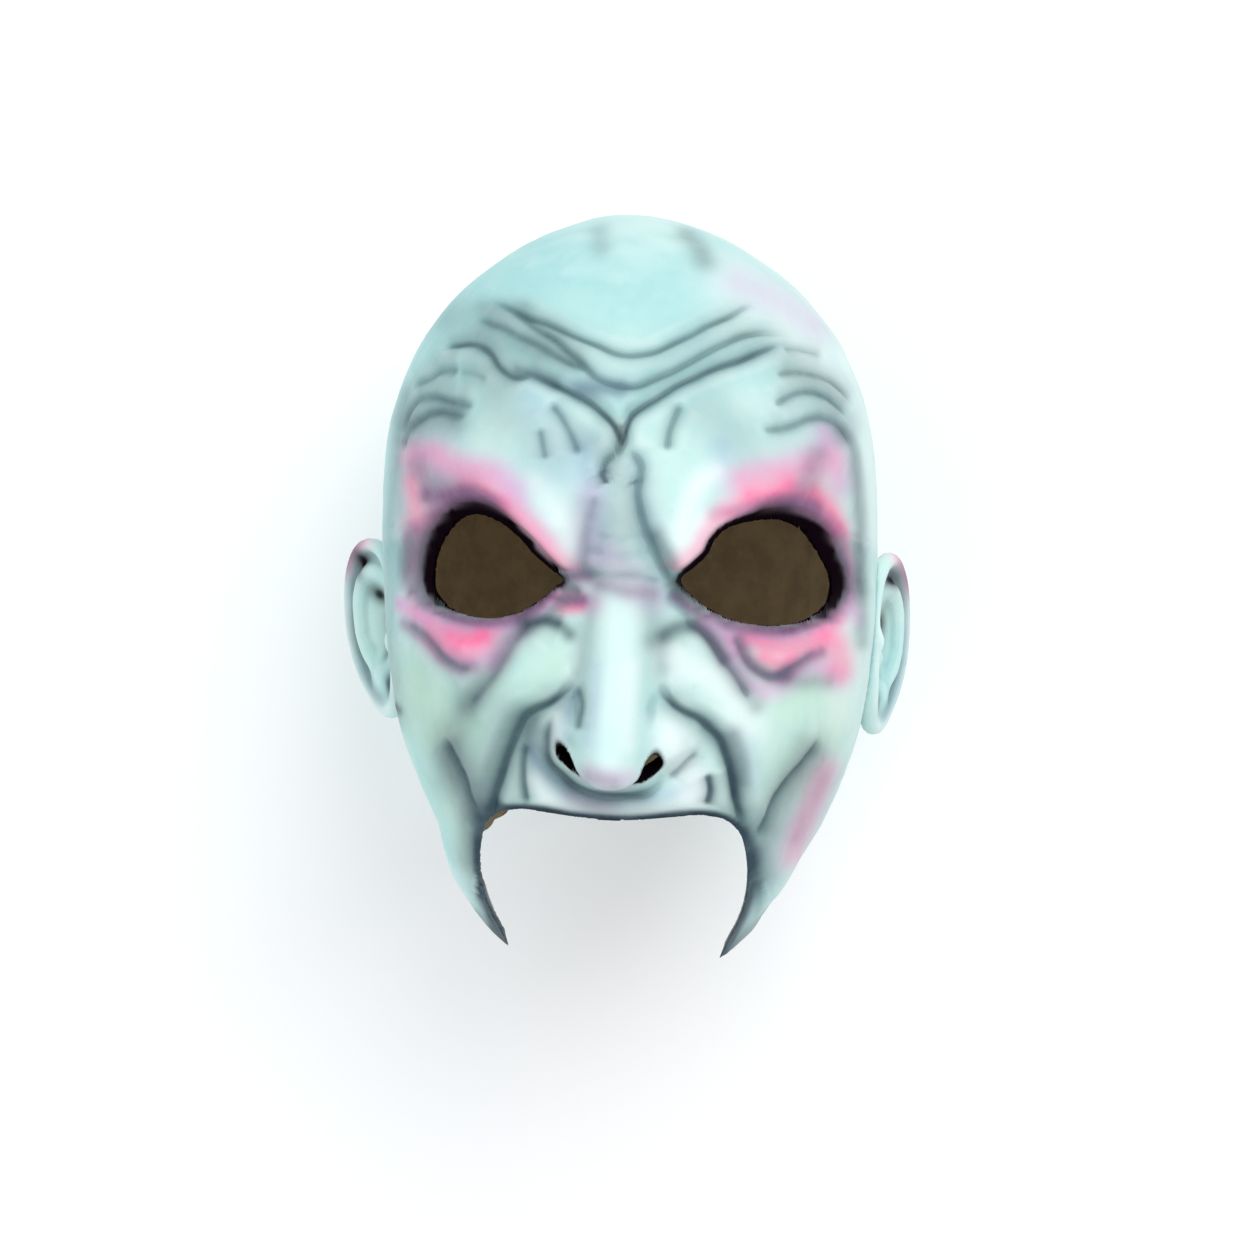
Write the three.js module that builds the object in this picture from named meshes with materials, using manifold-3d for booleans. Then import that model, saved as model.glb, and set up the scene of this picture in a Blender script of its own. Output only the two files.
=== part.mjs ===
// An over-the-head vampire mask of cast latex with no chin, laid on its back with the face up.
// Millimetres. +X is the viewer's right, +Y points to the crown and +Z out of the face.
// The face is shaped by heights over a bare head: soft forms, a nose and furrows.
import * as THREE from "three";
import { mergeVertices } from "three/addons/utils/BufferGeometryUtils.js";
import Module from "manifold-3d";

// Driving dimensions of the whole mask. Heights are counted from the line of the eyes.
const CROWN = 105;
const JAW_TIP = -110;
const NAPE_EDGE = -66;
const WALL = 3.3;
const DOME_FOOT = 12;
const DOME_HALF_WIDTH = 73;
const AXIS_Z = -10;
const REST_Z = -107;

// The bare head below the dome: half width, front and back reach, and how far forward it is widest.
const HALF_WIDTH = [[-125, 24], [-106, 38], [-97, 43.6], [-88, 48.8], [-70, 57.8], [-50, 65.8],
  [-30, 70.2], [-10, 72.4], [12, DOME_HALF_WIDTH]];
const FRONT = [[-125, 60], [-106, 72], [-90, 80], [-70, 86], [-50, 88], [-30, 86.5], [-10, 85],
  [12, 87.5]];
const BACK = [[-125, -76], [-90, -80], [-70, -86], [-50, -96], [-30, -105], [-10, -110], [12, -111]];
const WIDEST_Z = [[-125, 4], [-90, 2], [-50, -4], [-10, -9], [12, AXIS_Z]];
const SQUARENESS = [[-125, 2], [-80, 2.05], [-40, 2.25], [0, 2.2], [60, 2.15]];

const smooth = (from, to, at) => {
  const t = Math.min(1, Math.max(0, (at - from) / (to - from)));
  return t * t * (3 - 2 * t);
};
const bell = (at, width) => Math.exp(-((at / width) ** 2));

// The cast is not quite even: the nose and jaw lean to the left and the right side hangs a little low.
const JAW_LEAN = 3.2;
const SIDE_DROP = 0.033;

function settled(point) {
  const lean = Math.max(smooth(0, -55, point.y) * smooth(5, 55, point.z), smooth(-68, -90, point.y));
  const drop = SIDE_DROP * point.x * smooth(30, 0, point.y);
  return point.add(new THREE.Vector3(-JAW_LEAN * lean, -drop, 0));
}

// A smooth value through stations of [position, value], held at the last value past either end.
function through(stations, at) {
  const last = stations.length - 1;
  if (at <= stations[0][0]) return stations[0][1];
  if (at >= stations[last][0]) return stations[last][1];
  const i = stations.findIndex(([p]) => p > at) - 1;
  const slope = (k) => {
    const [p0, v0] = stations[Math.max(0, k - 1)];
    const [p1, v1] = stations[Math.min(last, k + 1)];
    return (v1 - v0) / (p1 - p0);
  };
  const [p0, v0] = stations[i];
  const [p1, v1] = stations[i + 1];
  const span = p1 - p0;
  const t = (at - p0) / span;
  const a = (1 + 2 * t) * (1 - t) ** 2;
  const b = t * (1 - t) ** 2;
  return a * v0 + (1 - a) * v1 + span * (b * slope(i) - t * t * (1 - t) * slope(i + 1));
}

// The point of the bare head at an angle round it from the midline of the face, and a height.
function bareHead(angle, y) {
  const up = Math.max(0, (y - DOME_FOOT) / (CROWN - DOME_FOOT));
  const narrow = (1 - up ** 2.7) ** 0.62;
  const shallow = (1 - up ** 2.5) ** 0.5;
  const foot = Math.min(y, DOME_FOOT);
  const middle = through(WIDEST_Z, foot);
  const facing = Math.cos(angle) >= 0;
  const reach = (facing ? through(FRONT, foot) - middle : middle - through(BACK, foot)) * shallow;
  const power = facing ? 2 / through(SQUARENESS, y) : 1;
  const across = Math.sin(angle);
  const along = Math.cos(angle);
  return new THREE.Vector3(
    through(HALF_WIDTH, foot) * narrow * Math.sign(across) * Math.abs(across) ** power,
    y,
    middle + reach * Math.sign(along) * Math.abs(along) ** power,
  );
}

// A line drawn on the face: a smooth curve through its points, cut into short straight steps.
function line(points, steps = 20) {
  const reach = [0];
  for (let i = 1; i < points.length; i++) {
    reach.push(reach[i - 1] + Math.hypot(points[i][0] - points[i - 1][0], points[i][1] - points[i - 1][1]));
  }
  const xs = points.map(([x], i) => [reach[i], x]);
  const ys = points.map(([, y], i) => [reach[i], y]);
  const total = reach[reach.length - 1];
  return Array.from({ length: steps + 1 }, (_, k) => {
    const at = (total * k) / steps;
    return [through(xs, at), through(ys, at)];
  });
}

// How far a place is from a line, on which side of it (+1 to the left of its run), and how far along.
function nearest(drawn, x, y) {
  let found = { far: Infinity, side: 1, along: 0 };
  for (let k = 0; k + 1 < drawn.length; k++) {
    const [ax, ay] = drawn[k];
    const dx = drawn[k + 1][0] - ax;
    const dy = drawn[k + 1][1] - ay;
    const t = Math.min(1, Math.max(0, ((x - ax) * dx + (y - ay) * dy) / (dx * dx + dy * dy)));
    const far = Math.hypot(x - ax - t * dx, y - ay - t * dy);
    if (far < found.far) {
      const side = dx * (y - ay) - dy * (x - ax) >= 0 ? 1 : -1;
      found = { far, side, along: (k + t) / (drawn.length - 1) };
    }
  }
  return found;
}

// Eye opening of the right half, from its inner corner over the top, and what lies round it.
const EYE = [[15, -2.6], [19.5, 1], [24, 6], [29, 10.8], [35.5, 14.2], [42.5, 14.6], [49, 11.4],
  [53.8, 5.2], [56, -2], [54.8, -8.8], [49.8, -12.8], [43, -14.4], [35.5, -14.2], [28, -11.8], [21, -8],
  [16.6, -5]];
const EYE_STRETCH = { left: 0.96, right: 1.05 };
const BROW = [[6, -10], [11, -5], [15.5, -1], [19.5, 3], [24, 8], [30, 12.8], [36.5, 16.4], [44, 17.6],
  [52, 16.8], [59, 13]];
const BROW_EDGE = line(BROW);
const SMILE_FOLD = line([[10, -32], [15.5, -34.5], [22.3, -39], [28, -45.4], [31.5, -54], [33.8, -62.8],
  [35.5, -72], [38, -84]]);

// Soft forms of the face, as height over the bare head. x is counted outward from the midline.
const BROW_HEIGHT = [[0, 0], [0.12, 4], [0.26, 9], [0.45, 8], [0.68, 5.5], [0.86, 3.5], [1, 1.5]];
const SOCKET_DEPTH = 7;
const CHEEK_LIP = 3;
// Root of the nose, bag under the eye, cheekbone, upper lip, muscle over the brow, and dent of the temple.
const SWELLINGS = [
  { high: 2.2, at: [0, 14], reach: [8, 17] },
  { high: 3, at: [44, -22], reach: [12, 6.5] },
  { high: 3.2, at: [40, -40], reach: [20, 14] },
  { high: 3, at: [0, -66], reach: [27, 9] },
  { high: 1.8, at: [24, 42], reach: [18, 13] },
  { high: -2.2, at: [69, 22], reach: [9, 22] },
];

function forms(x, y) {
  const brow = nearest(BROW_EDGE, x, y);
  const above = brow.far * brow.side;
  const slant = 3.2 + 7 * smooth(0.5, 0.9, brow.along);
  const underBrow = 1 - smooth(-3.2, slant, above);
  const overhang = through(BROW_HEIGHT, brow.along) * (1 - underBrow) * bell(Math.max(0, above - slant), 13);
  const inSocket = Math.exp(-((Math.hypot((x - 36) / 25, (y + 1) / 17)) ** 3));
  const fold = nearest(SMILE_FOLD, x, y);
  const outside = fold.far * fold.side;
  const cheekLip = smooth(-3, 3.5, outside) * bell(Math.max(0, outside - 3), 9)
    * smooth(0.06, 0.34, fold.along);
  const made = overhang * smooth(5, 15, x + 0.25 * y)
    - SOCKET_DEPTH * inSocket * underBrow * smooth(9, 18, x)
    + CHEEK_LIP * cheekLip;
  return SWELLINGS.reduce((sum, { high, at, reach }) => {
    return sum + high * bell(x - at[0], reach[0]) * bell(y - at[1], reach[1]);
  }, made);
}

// The long hooked nose, as height along Z over the bare head. Its tip droops by a share of its height.
const NOSE_HEIGHT = [[-62, 20], [-56, 24.5], [-50, 26.5], [-44, 26], [-36, 22.5], [-24, 17.5],
  [-12, 12], [0, 6], [10, 2.4], [24, 0]];
const NOSE_HALF_WIDTH = [[-60, 9.4], [-48, 10.2], [-36, 9], [-20, 8.4], [0, 9], [12, 9]];
const NOSE_DROOP = 0.13;

function nose(x, y) {
  const foot = -56.5 + 0.02 * x * x;
  const tall = through(NOSE_HEIGHT, y);
  const crest = Math.exp(-((x / through(NOSE_HALF_WIDTH, y)) ** 3));
  const ridge = tall * (0.72 * crest + 0.28 * bell(x, 16));
  const wing = 12 * Math.exp(-(Math.hypot((x - 12.6) / 8.4, (y + 45.5) / 11.5) ** 2.8));
  return (ridge ** 3 + wing ** 3) ** (1 / 3) * smooth(foot - 5, foot + 2.5, y);
}

// The three long furrows of the forehead. The lowest dips to a point between the brows.
const FIRST = [[-45, 76], [-33, 72.8], [-21, 67.4], [-11, 62.4], [-4, 59.4], [3, 58.4], [10, 60],
  [17, 63.8], [25, 68.4], [36, 73.2], [47, 76]];
const SECOND = [[-45, 70], [-31, 65.2], [-22, 60.6], [-13, 55.8], [-6, 51], [1.5, 49.4], [10, 51.2],
  [17, 55.4], [26, 60.8], [36, 64.8], [46, 66.6], [56, 67]];
const VEE = [[-51, 62], [-45, 62], [-38.5, 60], [-33, 55.8], [-27, 53.2], [-19, 50.2], [-10.7, 46],
  [-5.2, 41], [-1.6, 35.4], [-0.3, 32.6], [0.8, 35.6], [3, 41.6], [8.6, 46], [17, 50], [26, 54.4],
  [34.6, 59], [42, 61.6], [53, 61.6]];

// Furrows cut into the face: the line, its depth, its width, and how far its lips stand up.
const furrow = (points, depth, width, lips) => ({ run: line(points, 28), depth, width, lips });
const DEEPEST_FURROW = 2;
const FOREHEAD = [furrow(FIRST, 1.7, 2.3, 0.9), furrow(SECOND, 1.8, 2.3, 0.9), furrow(VEE, 1.8, 2.3, 0.8)];
// Furrows that both halves share, drawn on the right half.
const PAIRED = [
  furrow([[17.6, 45], [14.8, 40], [13.4, 35], [12.6, 29]], 1.0, 2.6, 0.3),
  furrow([[0.5, 32], [3.6, 28.4], [6, 23], [6.2, 16], [7.6, 9], [10.6, 2.6], [14, -3.4]], 1.5, 2.6, 0),
  furrow([[42, 52.6], [48, 54.4], [54.5, 53.8], [60, 50.6], [63.5, 45.5]], 1, 2.6, 0.5),
  furrow([[43, 45.2], [49.5, 48.4], [55, 48], [60, 44.6], [63.2, 39]], 1.2, 2.6, 0.5),
  furrow([[43, 40.4], [50, 43], [56.5, 42], [61, 38], [63, 32]], 1.3, 2.6, 0.4),
  furrow([[31.5, -18.6], [35, -24], [40.5, -28], [46, -27.6], [51, -23.8], [57, -18]], 1.4, 3, 0.3),
  furrow([[14, -15.4], [18.6, -14.4], [24, -15.6], [29, -20.6], [33.5, -27], [37.5, -34.4]], 1.6, 3, 0.5),
  { run: SMILE_FOLD, depth: 1.8, width: 2.8, lips: 0.3 },
  furrow([[13, -33], [18.6, -37], [21.6, -44], [21, -51], [17.5, -57]], 1.8, 2.4, 0.3),
  furrow([[51, -48], [45.5, -56], [42, -65], [40, -75]], 1.5, 3.2, 0.7),
  furrow([[26, -53], [25.6, -59], [24.5, -66]], 1.2, 2.6, 0.4),
];

function cut({ run, depth, width, lips }, x, y) {
  const { far, along } = nearest(run, x, y);
  const fade = smooth(0, 0.12, along) * smooth(1, 0.88, along);
  return fade * (lips * bell(far - 1.7 * width, 0.9 * width) - depth * bell(far, width));
}

function furrows(x, y) {
  let sum = 0;
  for (const one of FOREHEAD) sum += cut(one, x, y);
  for (const one of PAIRED) sum += cut(one, Math.abs(x), y);
  return Math.max(-DEEPEST_FURROW, sum);
}

// The left half of the face is a little narrower than the right.
const toHalf = (x) => Math.abs(x) / (x < 0 ? EYE_STRETCH.left : EYE_STRETCH.right);

// Lines of the net round the head, by their distance from the midline at the temples and then by angle.
function columns(fromMidline, backSteps) {
  const half = fromMidline.map((x) => Math.asin(x / DOME_HALF_WIDTH));
  const last = half[half.length - 1];
  const step = (Math.PI - last) / (backSteps + 1);
  const back = Array.from({ length: backSteps }, (_, k) => last + step * (k + 1));
  const right = [...half, ...back, Math.PI];
  return [...right, ...right.slice(1, -1).reverse().map((a) => 2 * Math.PI - a)];
}

// Rows of the net follow these lines across the face: a row, and the height it takes at each x.
const mirrored = (half) => [...half.slice(1).reverse().map(([x, y]) => [-x, y]), ...half];
const LEVEL = (y) => [[-1, y], [1, y]];
const BROW_ROW = mirrored([[0, -8], ...BROW.slice(1), [68, 8]]);
const OVER_FIRST = mirrored([[0, 78], [20, 81], [40, 86], [60, 87]]);
const ROW_LINES = [[-13.5, LEVEL(-13.5)], [-8, BROW_ROW], [32.6, VEE], [49.4, SECOND], [58.4, FIRST],
  [78, OVER_FIRST], [104, LEVEL(104)]];

function risen(x, row, angle) {
  const i = ROW_LINES.findIndex(([y]) => y >= row);
  if (i <= 0) return row;
  const [y0, low] = ROW_LINES[i - 1];
  const [y1, high] = ROW_LINES[i];
  const t = (row - y0) / (y1 - y0);
  const rise = (1 - t) * through(low, x) + t * through(high, x) - row;
  return row + rise * smooth(2.9, 1.5, Math.min(angle, 2 * Math.PI - angle));
}

function outward(net) {
  const rows = net.length;
  return net.map((row, i) => row.map((p, j) => {
    const up = net[Math.max(0, i - 1)][j];
    const down = net[Math.min(rows - 1, i + 1)][j];
    const right = row[(j + 1) % row.length];
    const left = row[(j + row.length - 1) % row.length];
    return up.clone().sub(down).cross(left.clone().sub(right)).normalize();
  }));
}

// The lowest value of a field within a wall's thickness of a place, which keeps that wall everywhere.
function lowest(field, x, y, inset) {
  let least = field(x, y);
  for (let k = 0; inset > 0 && k < 8; k++) {
    const turn = (Math.PI * k) / 4;
    least = Math.min(least, field(Math.abs(x + inset * Math.cos(turn)), y + inset * Math.sin(turn)));
  }
  return least;
}

// The net of a skin over the whole head. inset is how far it lies inside.
function headNet(heights, angles, inset, furrowed) {
  const bare = heights.map((row) => angles.map((a) => {
    const y = risen(bareHead(a, row).x, row, a);
    return bareHead(a, Math.min(CROWN - 0.6, y));
  }));
  const ways = outward(bare);
  return bare.map((row, i) => row.map((p, j) => {
    const front = smooth(4, 34, p.z);
    const height = lowest(forms, toHalf(p.x), p.y, inset) + (furrowed ? furrows(p.x, p.y) : 0);
    const tall = front * lowest(nose, toHalf(p.x), p.y, inset);
    const made = p.clone().addScaledVector(ways[i][j], front * height - inset);
    made.z = Math.max(made.z + tall, REST_Z + inset);
    made.y -= NOSE_DROOP * tall * smooth(8, 24, tall);
    return settled(made);
  }));
}

function closedSkin(net, top, bottom) {
  const wide = net[0].length;
  const points = [top, ...net.flat(), bottom];
  const at = (i, j) => 1 + i * wide + (j % wide);
  const faces = [];
  for (let j = 0; j < wide; j++) {
    faces.push(0, at(0, j), at(0, j + 1));
    for (let i = 0; i + 1 < net.length; i++) {
      const [a, b, c, d] = [at(i, j), at(i + 1, j), at(i + 1, j + 1), at(i, j + 1)];
      const shorter = points[a].distanceTo(points[c]) < points[b].distanceTo(points[d]);
      faces.push(...(shorter ? [a, b, c, a, c, d] : [a, b, d, b, c, d]));
    }
    faces.push(points.length - 1, at(net.length - 1, j + 1), at(net.length - 1, j));
  }
  const geometry = new THREE.BufferGeometry().setFromPoints(points);
  geometry.setIndex(faces);
  return geometry;
}

const OUTER_COLUMNS = columns([0, 3.1, 6.2, 9.3, 12.4, 15.5, 18.6, 21.8, 25, 28.2, 31.4, 34.8, 38.4,
  42.4, 46.8, 51.4, 56, 60.4, 64.4, 68, 71], 8);
const OUTER_HEIGHTS = [103.8, 101, 96, 89.5, 82.5, 76, 69.5, 64.5, 61.4, 58.4, 55.4, 52.4, 49.4, 45.4,
  41.2, 36.9, 32.6, 28.4, 23.6, 18.6, 13.4, 8.4, 3.8, 0, -3, -5.6, -8, -9.8, -11.6, -13.5, -17, -20.5,
  -24, -27.5, -31, -34.5, -38, -41, -44, -47, -50, -52.5, -54.5, -56.5, -58.5, -60.5, -63, -66, -70,
  -77, -85, -93, -102, -112, -120];
const INNER_COLUMNS = columns([0, 5, 10, 16, 23, 31, 40, 49, 58, 66], 7);
const INNER_HEIGHTS = [101, 94, 84, 72, 62, 54, 46, 38, 30, 20, 11, 3, -3, -8, -14, -21, -28, -35, -42,
  -48, -53, -58, -64, -72, -84, -97, -111, -124];

const outerSkin = () => closedSkin(headNet(OUTER_HEIGHTS, OUTER_COLUMNS, 0, true),
  new THREE.Vector3(0, CROWN, AXIS_Z), new THREE.Vector3(0, -122, 0));
const innerSkin = () => closedSkin(headNet(INNER_HEIGHTS, INNER_COLUMNS, WALL, false),
  new THREE.Vector3(0, CROWN - WALL, AXIS_Z), new THREE.Vector3(0, -126, 0));

// The ear: a bowl with a rolled rim, seen from the side as an egg with its narrow end down.
const EAR = { at: [76, -19.5, -14], reach: 16.5, half: 27, thick: 3, dome: 6 };
const EAR_FLARE = { left: 32, right: 20 };
const EAR_RINGS = [0.3, 0.55, 0.68, 0.78, 0.88, 0.97];
const EAR_BACK_RINGS = [0.86, 0.6, 0.3];

// Height of the ear over its plane: rolled rim, inner ridge, bowl, lobe, and the flap before the bowl.
function earRelief(share, angle) {
  const rearward = smooth(-0.5, 0.3, Math.cos(angle));
  const lobe = smooth(-0.6, -0.95, Math.sin(angle));
  const flap = bell(share * Math.cos(angle) + 0.55, 0.22) * bell(share * Math.sin(angle) + 0.12, 0.2);
  return 3.4 * bell(share - 0.93, 0.1) * (1 - 0.8 * lobe)
    + 2.6 * bell(share - 0.58, 0.12) * rearward * (1 - lobe)
    - 2.6 * bell(share, 0.42)
    + 2 * lobe * share
    + 2.4 * flap;
}

function ear(side, around = 24) {
  const turn = THREE.MathUtils.degToRad(side < 0 ? EAR_FLARE.left : EAR_FLARE.right);
  const rear = new THREE.Vector3(Math.sin(turn), 0, -Math.cos(turn));
  const face = new THREE.Vector3(Math.cos(turn), 0, Math.sin(turn));
  const place = (share, angle, height) => {
    const back = Math.cos(angle) * EAR.reach * (1 + 0.2 * Math.sin(angle)) * share;
    const up = Math.sin(angle) * EAR.half * share;
    const point = new THREE.Vector3(...EAR.at)
      .addScaledVector(rear, back + 0.12 * up)
      .addScaledVector(face, height);
    point.y += up;
    point.x -= 0.0045 * Math.max(0, -up) ** 2;
    point.x *= side;
    return settled(point);
  };
  const angles = Array.from({ length: around }, (_, j) => (2 * Math.PI * j) / around);
  const front = EAR_RINGS.map((share) => angles.map((a) => place(share, a, earRelief(share, a))));
  const edge = angles.map((a) => place(1, a, 0));
  const domed = (share) => -EAR.thick - (EAR.dome - 1) * (1 - share);
  const behind = EAR_BACK_RINGS.map((share) => angles.map((a) => place(share, a, domed(share))));
  const net = [...front, edge, ...behind];
  const skin = closedSkin(net, place(0, 0, earRelief(0, 0)), place(0, 0, domed(0) - 1));
  return side > 0 ? skin : flipped(skin);
}

function flipped(geometry) {
  const index = geometry.index.array;
  for (let i = 0; i < index.length; i += 3) [index[i], index[i + 1]] = [index[i + 1], index[i]];
  return geometry;
}

// A straight cut along Z through an outline.
function cutter(outline, from, to) {
  const points = outline.map(([x, y]) => settled(new THREE.Vector3(x, y, to)));
  const curve = new THREE.CatmullRomCurve3(points, true);
  const shape = new THREE.Shape(curve.getPoints(40).slice(0, -1).map((p) => new THREE.Vector2(p.x, p.y)));
  const geometry = new THREE.ExtrudeGeometry(shape, { depth: to - from, bevelEnabled: false });
  return geometry.translate(0, 0, from);
}

const eyeCutter = (side) => {
  const stretch = side < 0 ? EYE_STRETCH.left : EYE_STRETCH.right;
  const outline = EYE.map(([x, y]) => [side * stretch * x, y]);
  return cutter(side < 0 ? outline : outline.reverse(), 30, 120);
};

// The notch that frees the mouth and chin runs from the upper lip down between the jaw strips.
const NOTCH = [[0, -67.8], [9, -67.4], [18, -66.4], [26, -66.2], [31.5, -67.8], [35, -71.6],
  [36.6, -77], [37.2, -83], [36.8, -90], [35, -97], [31.5, -104.5], [22, -126]];
const notchCutter = () => {
  const left = NOTCH.slice(1).reverse().map(([x, y]) => [-x, y]);
  return cutter([...left, ...NOTCH].reverse(), 12, 125);
};

// A slanting cut frees the neck, from the tips of the jaw up to the nape.
function neckCutter() {
  const tip = new THREE.Vector2(46, JAW_TIP);
  const nape = new THREE.Vector2(-92, NAPE_EDGE);
  const slope = Math.atan2(nape.y - tip.y, nape.x - tip.x);
  const box = new THREE.BoxGeometry(240, 100, 400).translate(0, -50, 0);
  return box.rotateX(Math.PI - slope).rotateZ(-2 * SIDE_DROP).translate(0, tip.y, tip.x);
}

const NOSTRILS = [
  { x: -14.4, y: -50, wide: 2.9, high: 3.9, lean: 28 },
  { x: 8, y: -52, wide: 3.7, high: 4.8, lean: -12 },
];
const nostrilCutter = ({ x, y, wide, high, lean }) => new THREE.CylinderGeometry(1, 1, 40, 16)
  .rotateX(Math.PI / 2)
  .scale(wide, high, 1)
  .rotateZ(THREE.MathUtils.degToRad(lean))
  .rotateX(THREE.MathUtils.degToRad(32))
  .translate(x, y, 98);

const wasm = await Module();
wasm.setup();

function solid(geometry) {
  const bare = geometry.clone();
  bare.deleteAttribute("normal");
  bare.deleteAttribute("uv");
  const merged = mergeVertices(bare, 1e-4);
  return new wasm.Manifold(new wasm.Mesh({
    numProp: 3,
    vertProperties: new Float32Array(merged.attributes.position.array),
    triVerts: new Uint32Array(merged.index.array),
  }));
}

function geometryOf(made) {
  const { vertProperties, triVerts } = made.getMesh();
  const geometry = new THREE.BufferGeometry();
  geometry.setAttribute("position", new THREE.BufferAttribute(vertProperties, 3));
  geometry.setIndex(new THREE.BufferAttribute(triVerts, 1));
  geometry.computeVertexNormals();
  return geometry;
}

let casting = solid(outerSkin()).add(solid(ear(-1))).add(solid(ear(1))).subtract(solid(innerSkin()));
const tools = [eyeCutter(-1), eyeCutter(1), notchCutter(), neckCutter(), ...NOSTRILS.map(nostrilCutter)];
for (const tool of tools) {
  casting = casting.subtract(solid(tool));
}

const latex = new THREE.MeshStandardMaterial({ color: 0xbfe0dc, roughness: 0.55, metalness: 0 });
const mask = new THREE.Mesh(geometryOf(casting), latex);
mask.name = "latex_mask";

// The origin is the middle of the underside of the mask's bounding box, on the ground it lies on.
mask.geometry.computeBoundingBox();
const { min, max } = mask.geometry.boundingBox;
mask.position.set(-(min.x + max.x) / 2, -(min.y + max.y) / 2, -min.z);

const part = new THREE.Group();
part.add(mask);
export default part;
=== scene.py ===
import math

import bpy
import numpy as np
from mathutils import Matrix, Vector, kdtree, noise
from mathutils.bvhtree import BVHTree


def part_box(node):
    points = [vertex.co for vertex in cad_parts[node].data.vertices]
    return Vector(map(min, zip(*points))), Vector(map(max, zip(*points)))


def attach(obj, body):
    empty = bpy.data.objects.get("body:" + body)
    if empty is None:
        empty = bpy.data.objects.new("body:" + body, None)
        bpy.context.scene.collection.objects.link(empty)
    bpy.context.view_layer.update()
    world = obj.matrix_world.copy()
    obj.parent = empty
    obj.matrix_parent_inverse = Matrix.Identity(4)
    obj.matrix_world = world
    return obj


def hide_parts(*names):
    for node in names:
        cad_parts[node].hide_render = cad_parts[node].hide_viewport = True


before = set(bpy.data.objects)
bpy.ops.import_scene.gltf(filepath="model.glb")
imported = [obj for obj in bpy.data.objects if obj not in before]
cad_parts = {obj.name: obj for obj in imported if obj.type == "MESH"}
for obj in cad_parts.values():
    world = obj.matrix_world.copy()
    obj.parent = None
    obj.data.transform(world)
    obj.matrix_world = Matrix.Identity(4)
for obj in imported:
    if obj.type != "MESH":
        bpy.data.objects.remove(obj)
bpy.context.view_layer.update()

MM = 0.001

# The mask lies on the back of the head with its face up. Sizes below are millimetres on the mask:
# x to the right of someone looking at the face, y to the crown from the line of the eyes,
# z out of the face from the plane of the ears.
CROWN = 105
REST_Z = -107
MIDLINE_X = 1.47
lowest_corner, highest_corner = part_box("latex_mask")
EYE_LINE = np.array([MIDLINE_X, highest_corner.y / MM - CROWN, lowest_corner.z / MM - REST_Z])


def in_frame(point):
    return Vector((np.array(point) + EYE_LINE) * MM)


# The viewpoint: straight down on the face from just over a metre, turned a little to the mask's left ear.
# The point between the ears falls right of the middle of the picture and above it.
VIEW_PIVOT = np.array([0, 0, -5])
VIEW_DISTANCE = 1095
VIEW_YAW = math.radians(1.2)
PICTURE_SIDE = 1240
PIVOT_RIGHT_OF_MIDDLE = 10
PIVOT_ABOVE_MIDDLE = 50
FOCAL_IN_PIXELS = 3704
SENSOR = 36

view_right = np.array([math.cos(VIEW_YAW), 0, -math.sin(VIEW_YAW)])
view_back = np.array([math.sin(VIEW_YAW), 0, math.cos(VIEW_YAW)])
mm_to_a_pixel = VIEW_DISTANCE / FOCAL_IN_PIXELS
eye_at = in_frame(VIEW_PIVOT + VIEW_DISTANCE * view_back)
aimed_at = in_frame(VIEW_PIVOT - mm_to_a_pixel * (
    PIVOT_RIGHT_OF_MIDDLE * view_right + PIVOT_ABOVE_MIDDLE * np.array([0, 1, 0])))
lens = bpy.data.cameras.new("viewpoint")
lens.sensor_width = SENSOR
lens.lens = SENSOR * FOCAL_IN_PIXELS / PICTURE_SIDE
lens.dof.use_dof = False
viewpoint = bpy.data.objects.new("viewpoint", lens)
bpy.context.scene.collection.objects.link(viewpoint)
backward = (eye_at - aimed_at).normalized()
rightward = Vector((0, 1, 0)).cross(backward).normalized()
turned = Matrix((rightward, backward.cross(rightward), backward)).transposed()
viewpoint.matrix_world = Matrix.Translation(eye_at) @ turned.to_4x4()
bpy.context.scene.camera = viewpoint

# The mask: one hollow casting of latex, filled into a plaster mould and peeled out, that goes over the
# whole head. It is bald, with eye holes, pierced nostrils, ears, and a wide notch below the upper lip.
# First its bare head: a smooth skull and jaw without features, by half width, front and back.
NAPE_EDGE = -66
JAW_TIP = -110
WALL = 3.3
DOME_FOOT = 12
DOME_HALF_WIDTH = 73
AXIS_Z = -10
HALF_WIDTH = [(-125, 24), (-106, 38), (-97, 43.6), (-88, 48.8), (-70, 57.8), (-50, 65.8), (-30, 70.2),
              (-10, 72.4), (12, DOME_HALF_WIDTH)]
FRONT = [(-125, 60), (-106, 72), (-90, 80), (-70, 86), (-50, 88), (-30, 86.5), (-10, 85), (12, 87.5)]
BACK = [(-125, -76), (-90, -80), (-70, -86), (-50, -96), (-30, -105), (-10, -110), (12, -111)]
WIDEST_Z = [(-125, 4), (-90, 2), (-50, -4), (-10, -9), (12, AXIS_Z)]
SQUARENESS = [(-125, 2), (-80, 2.05), (-40, 2.25), (0, 2.2), (60, 2.15)]
TEMPLE_ROUNDNESS = (2.7, 0.62)
CROWN_ROUNDNESS = (2.5, 0.5)
JAW_LEAN = 3.2
SIDE_DROP = 0.033


def smooth(start, stop, at):
    t = np.clip((at - start) / (stop - start), 0, 1)
    return t * t * (3 - 2 * t)


def bell(at, width):
    return np.exp(-((at / width) ** 2))


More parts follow.
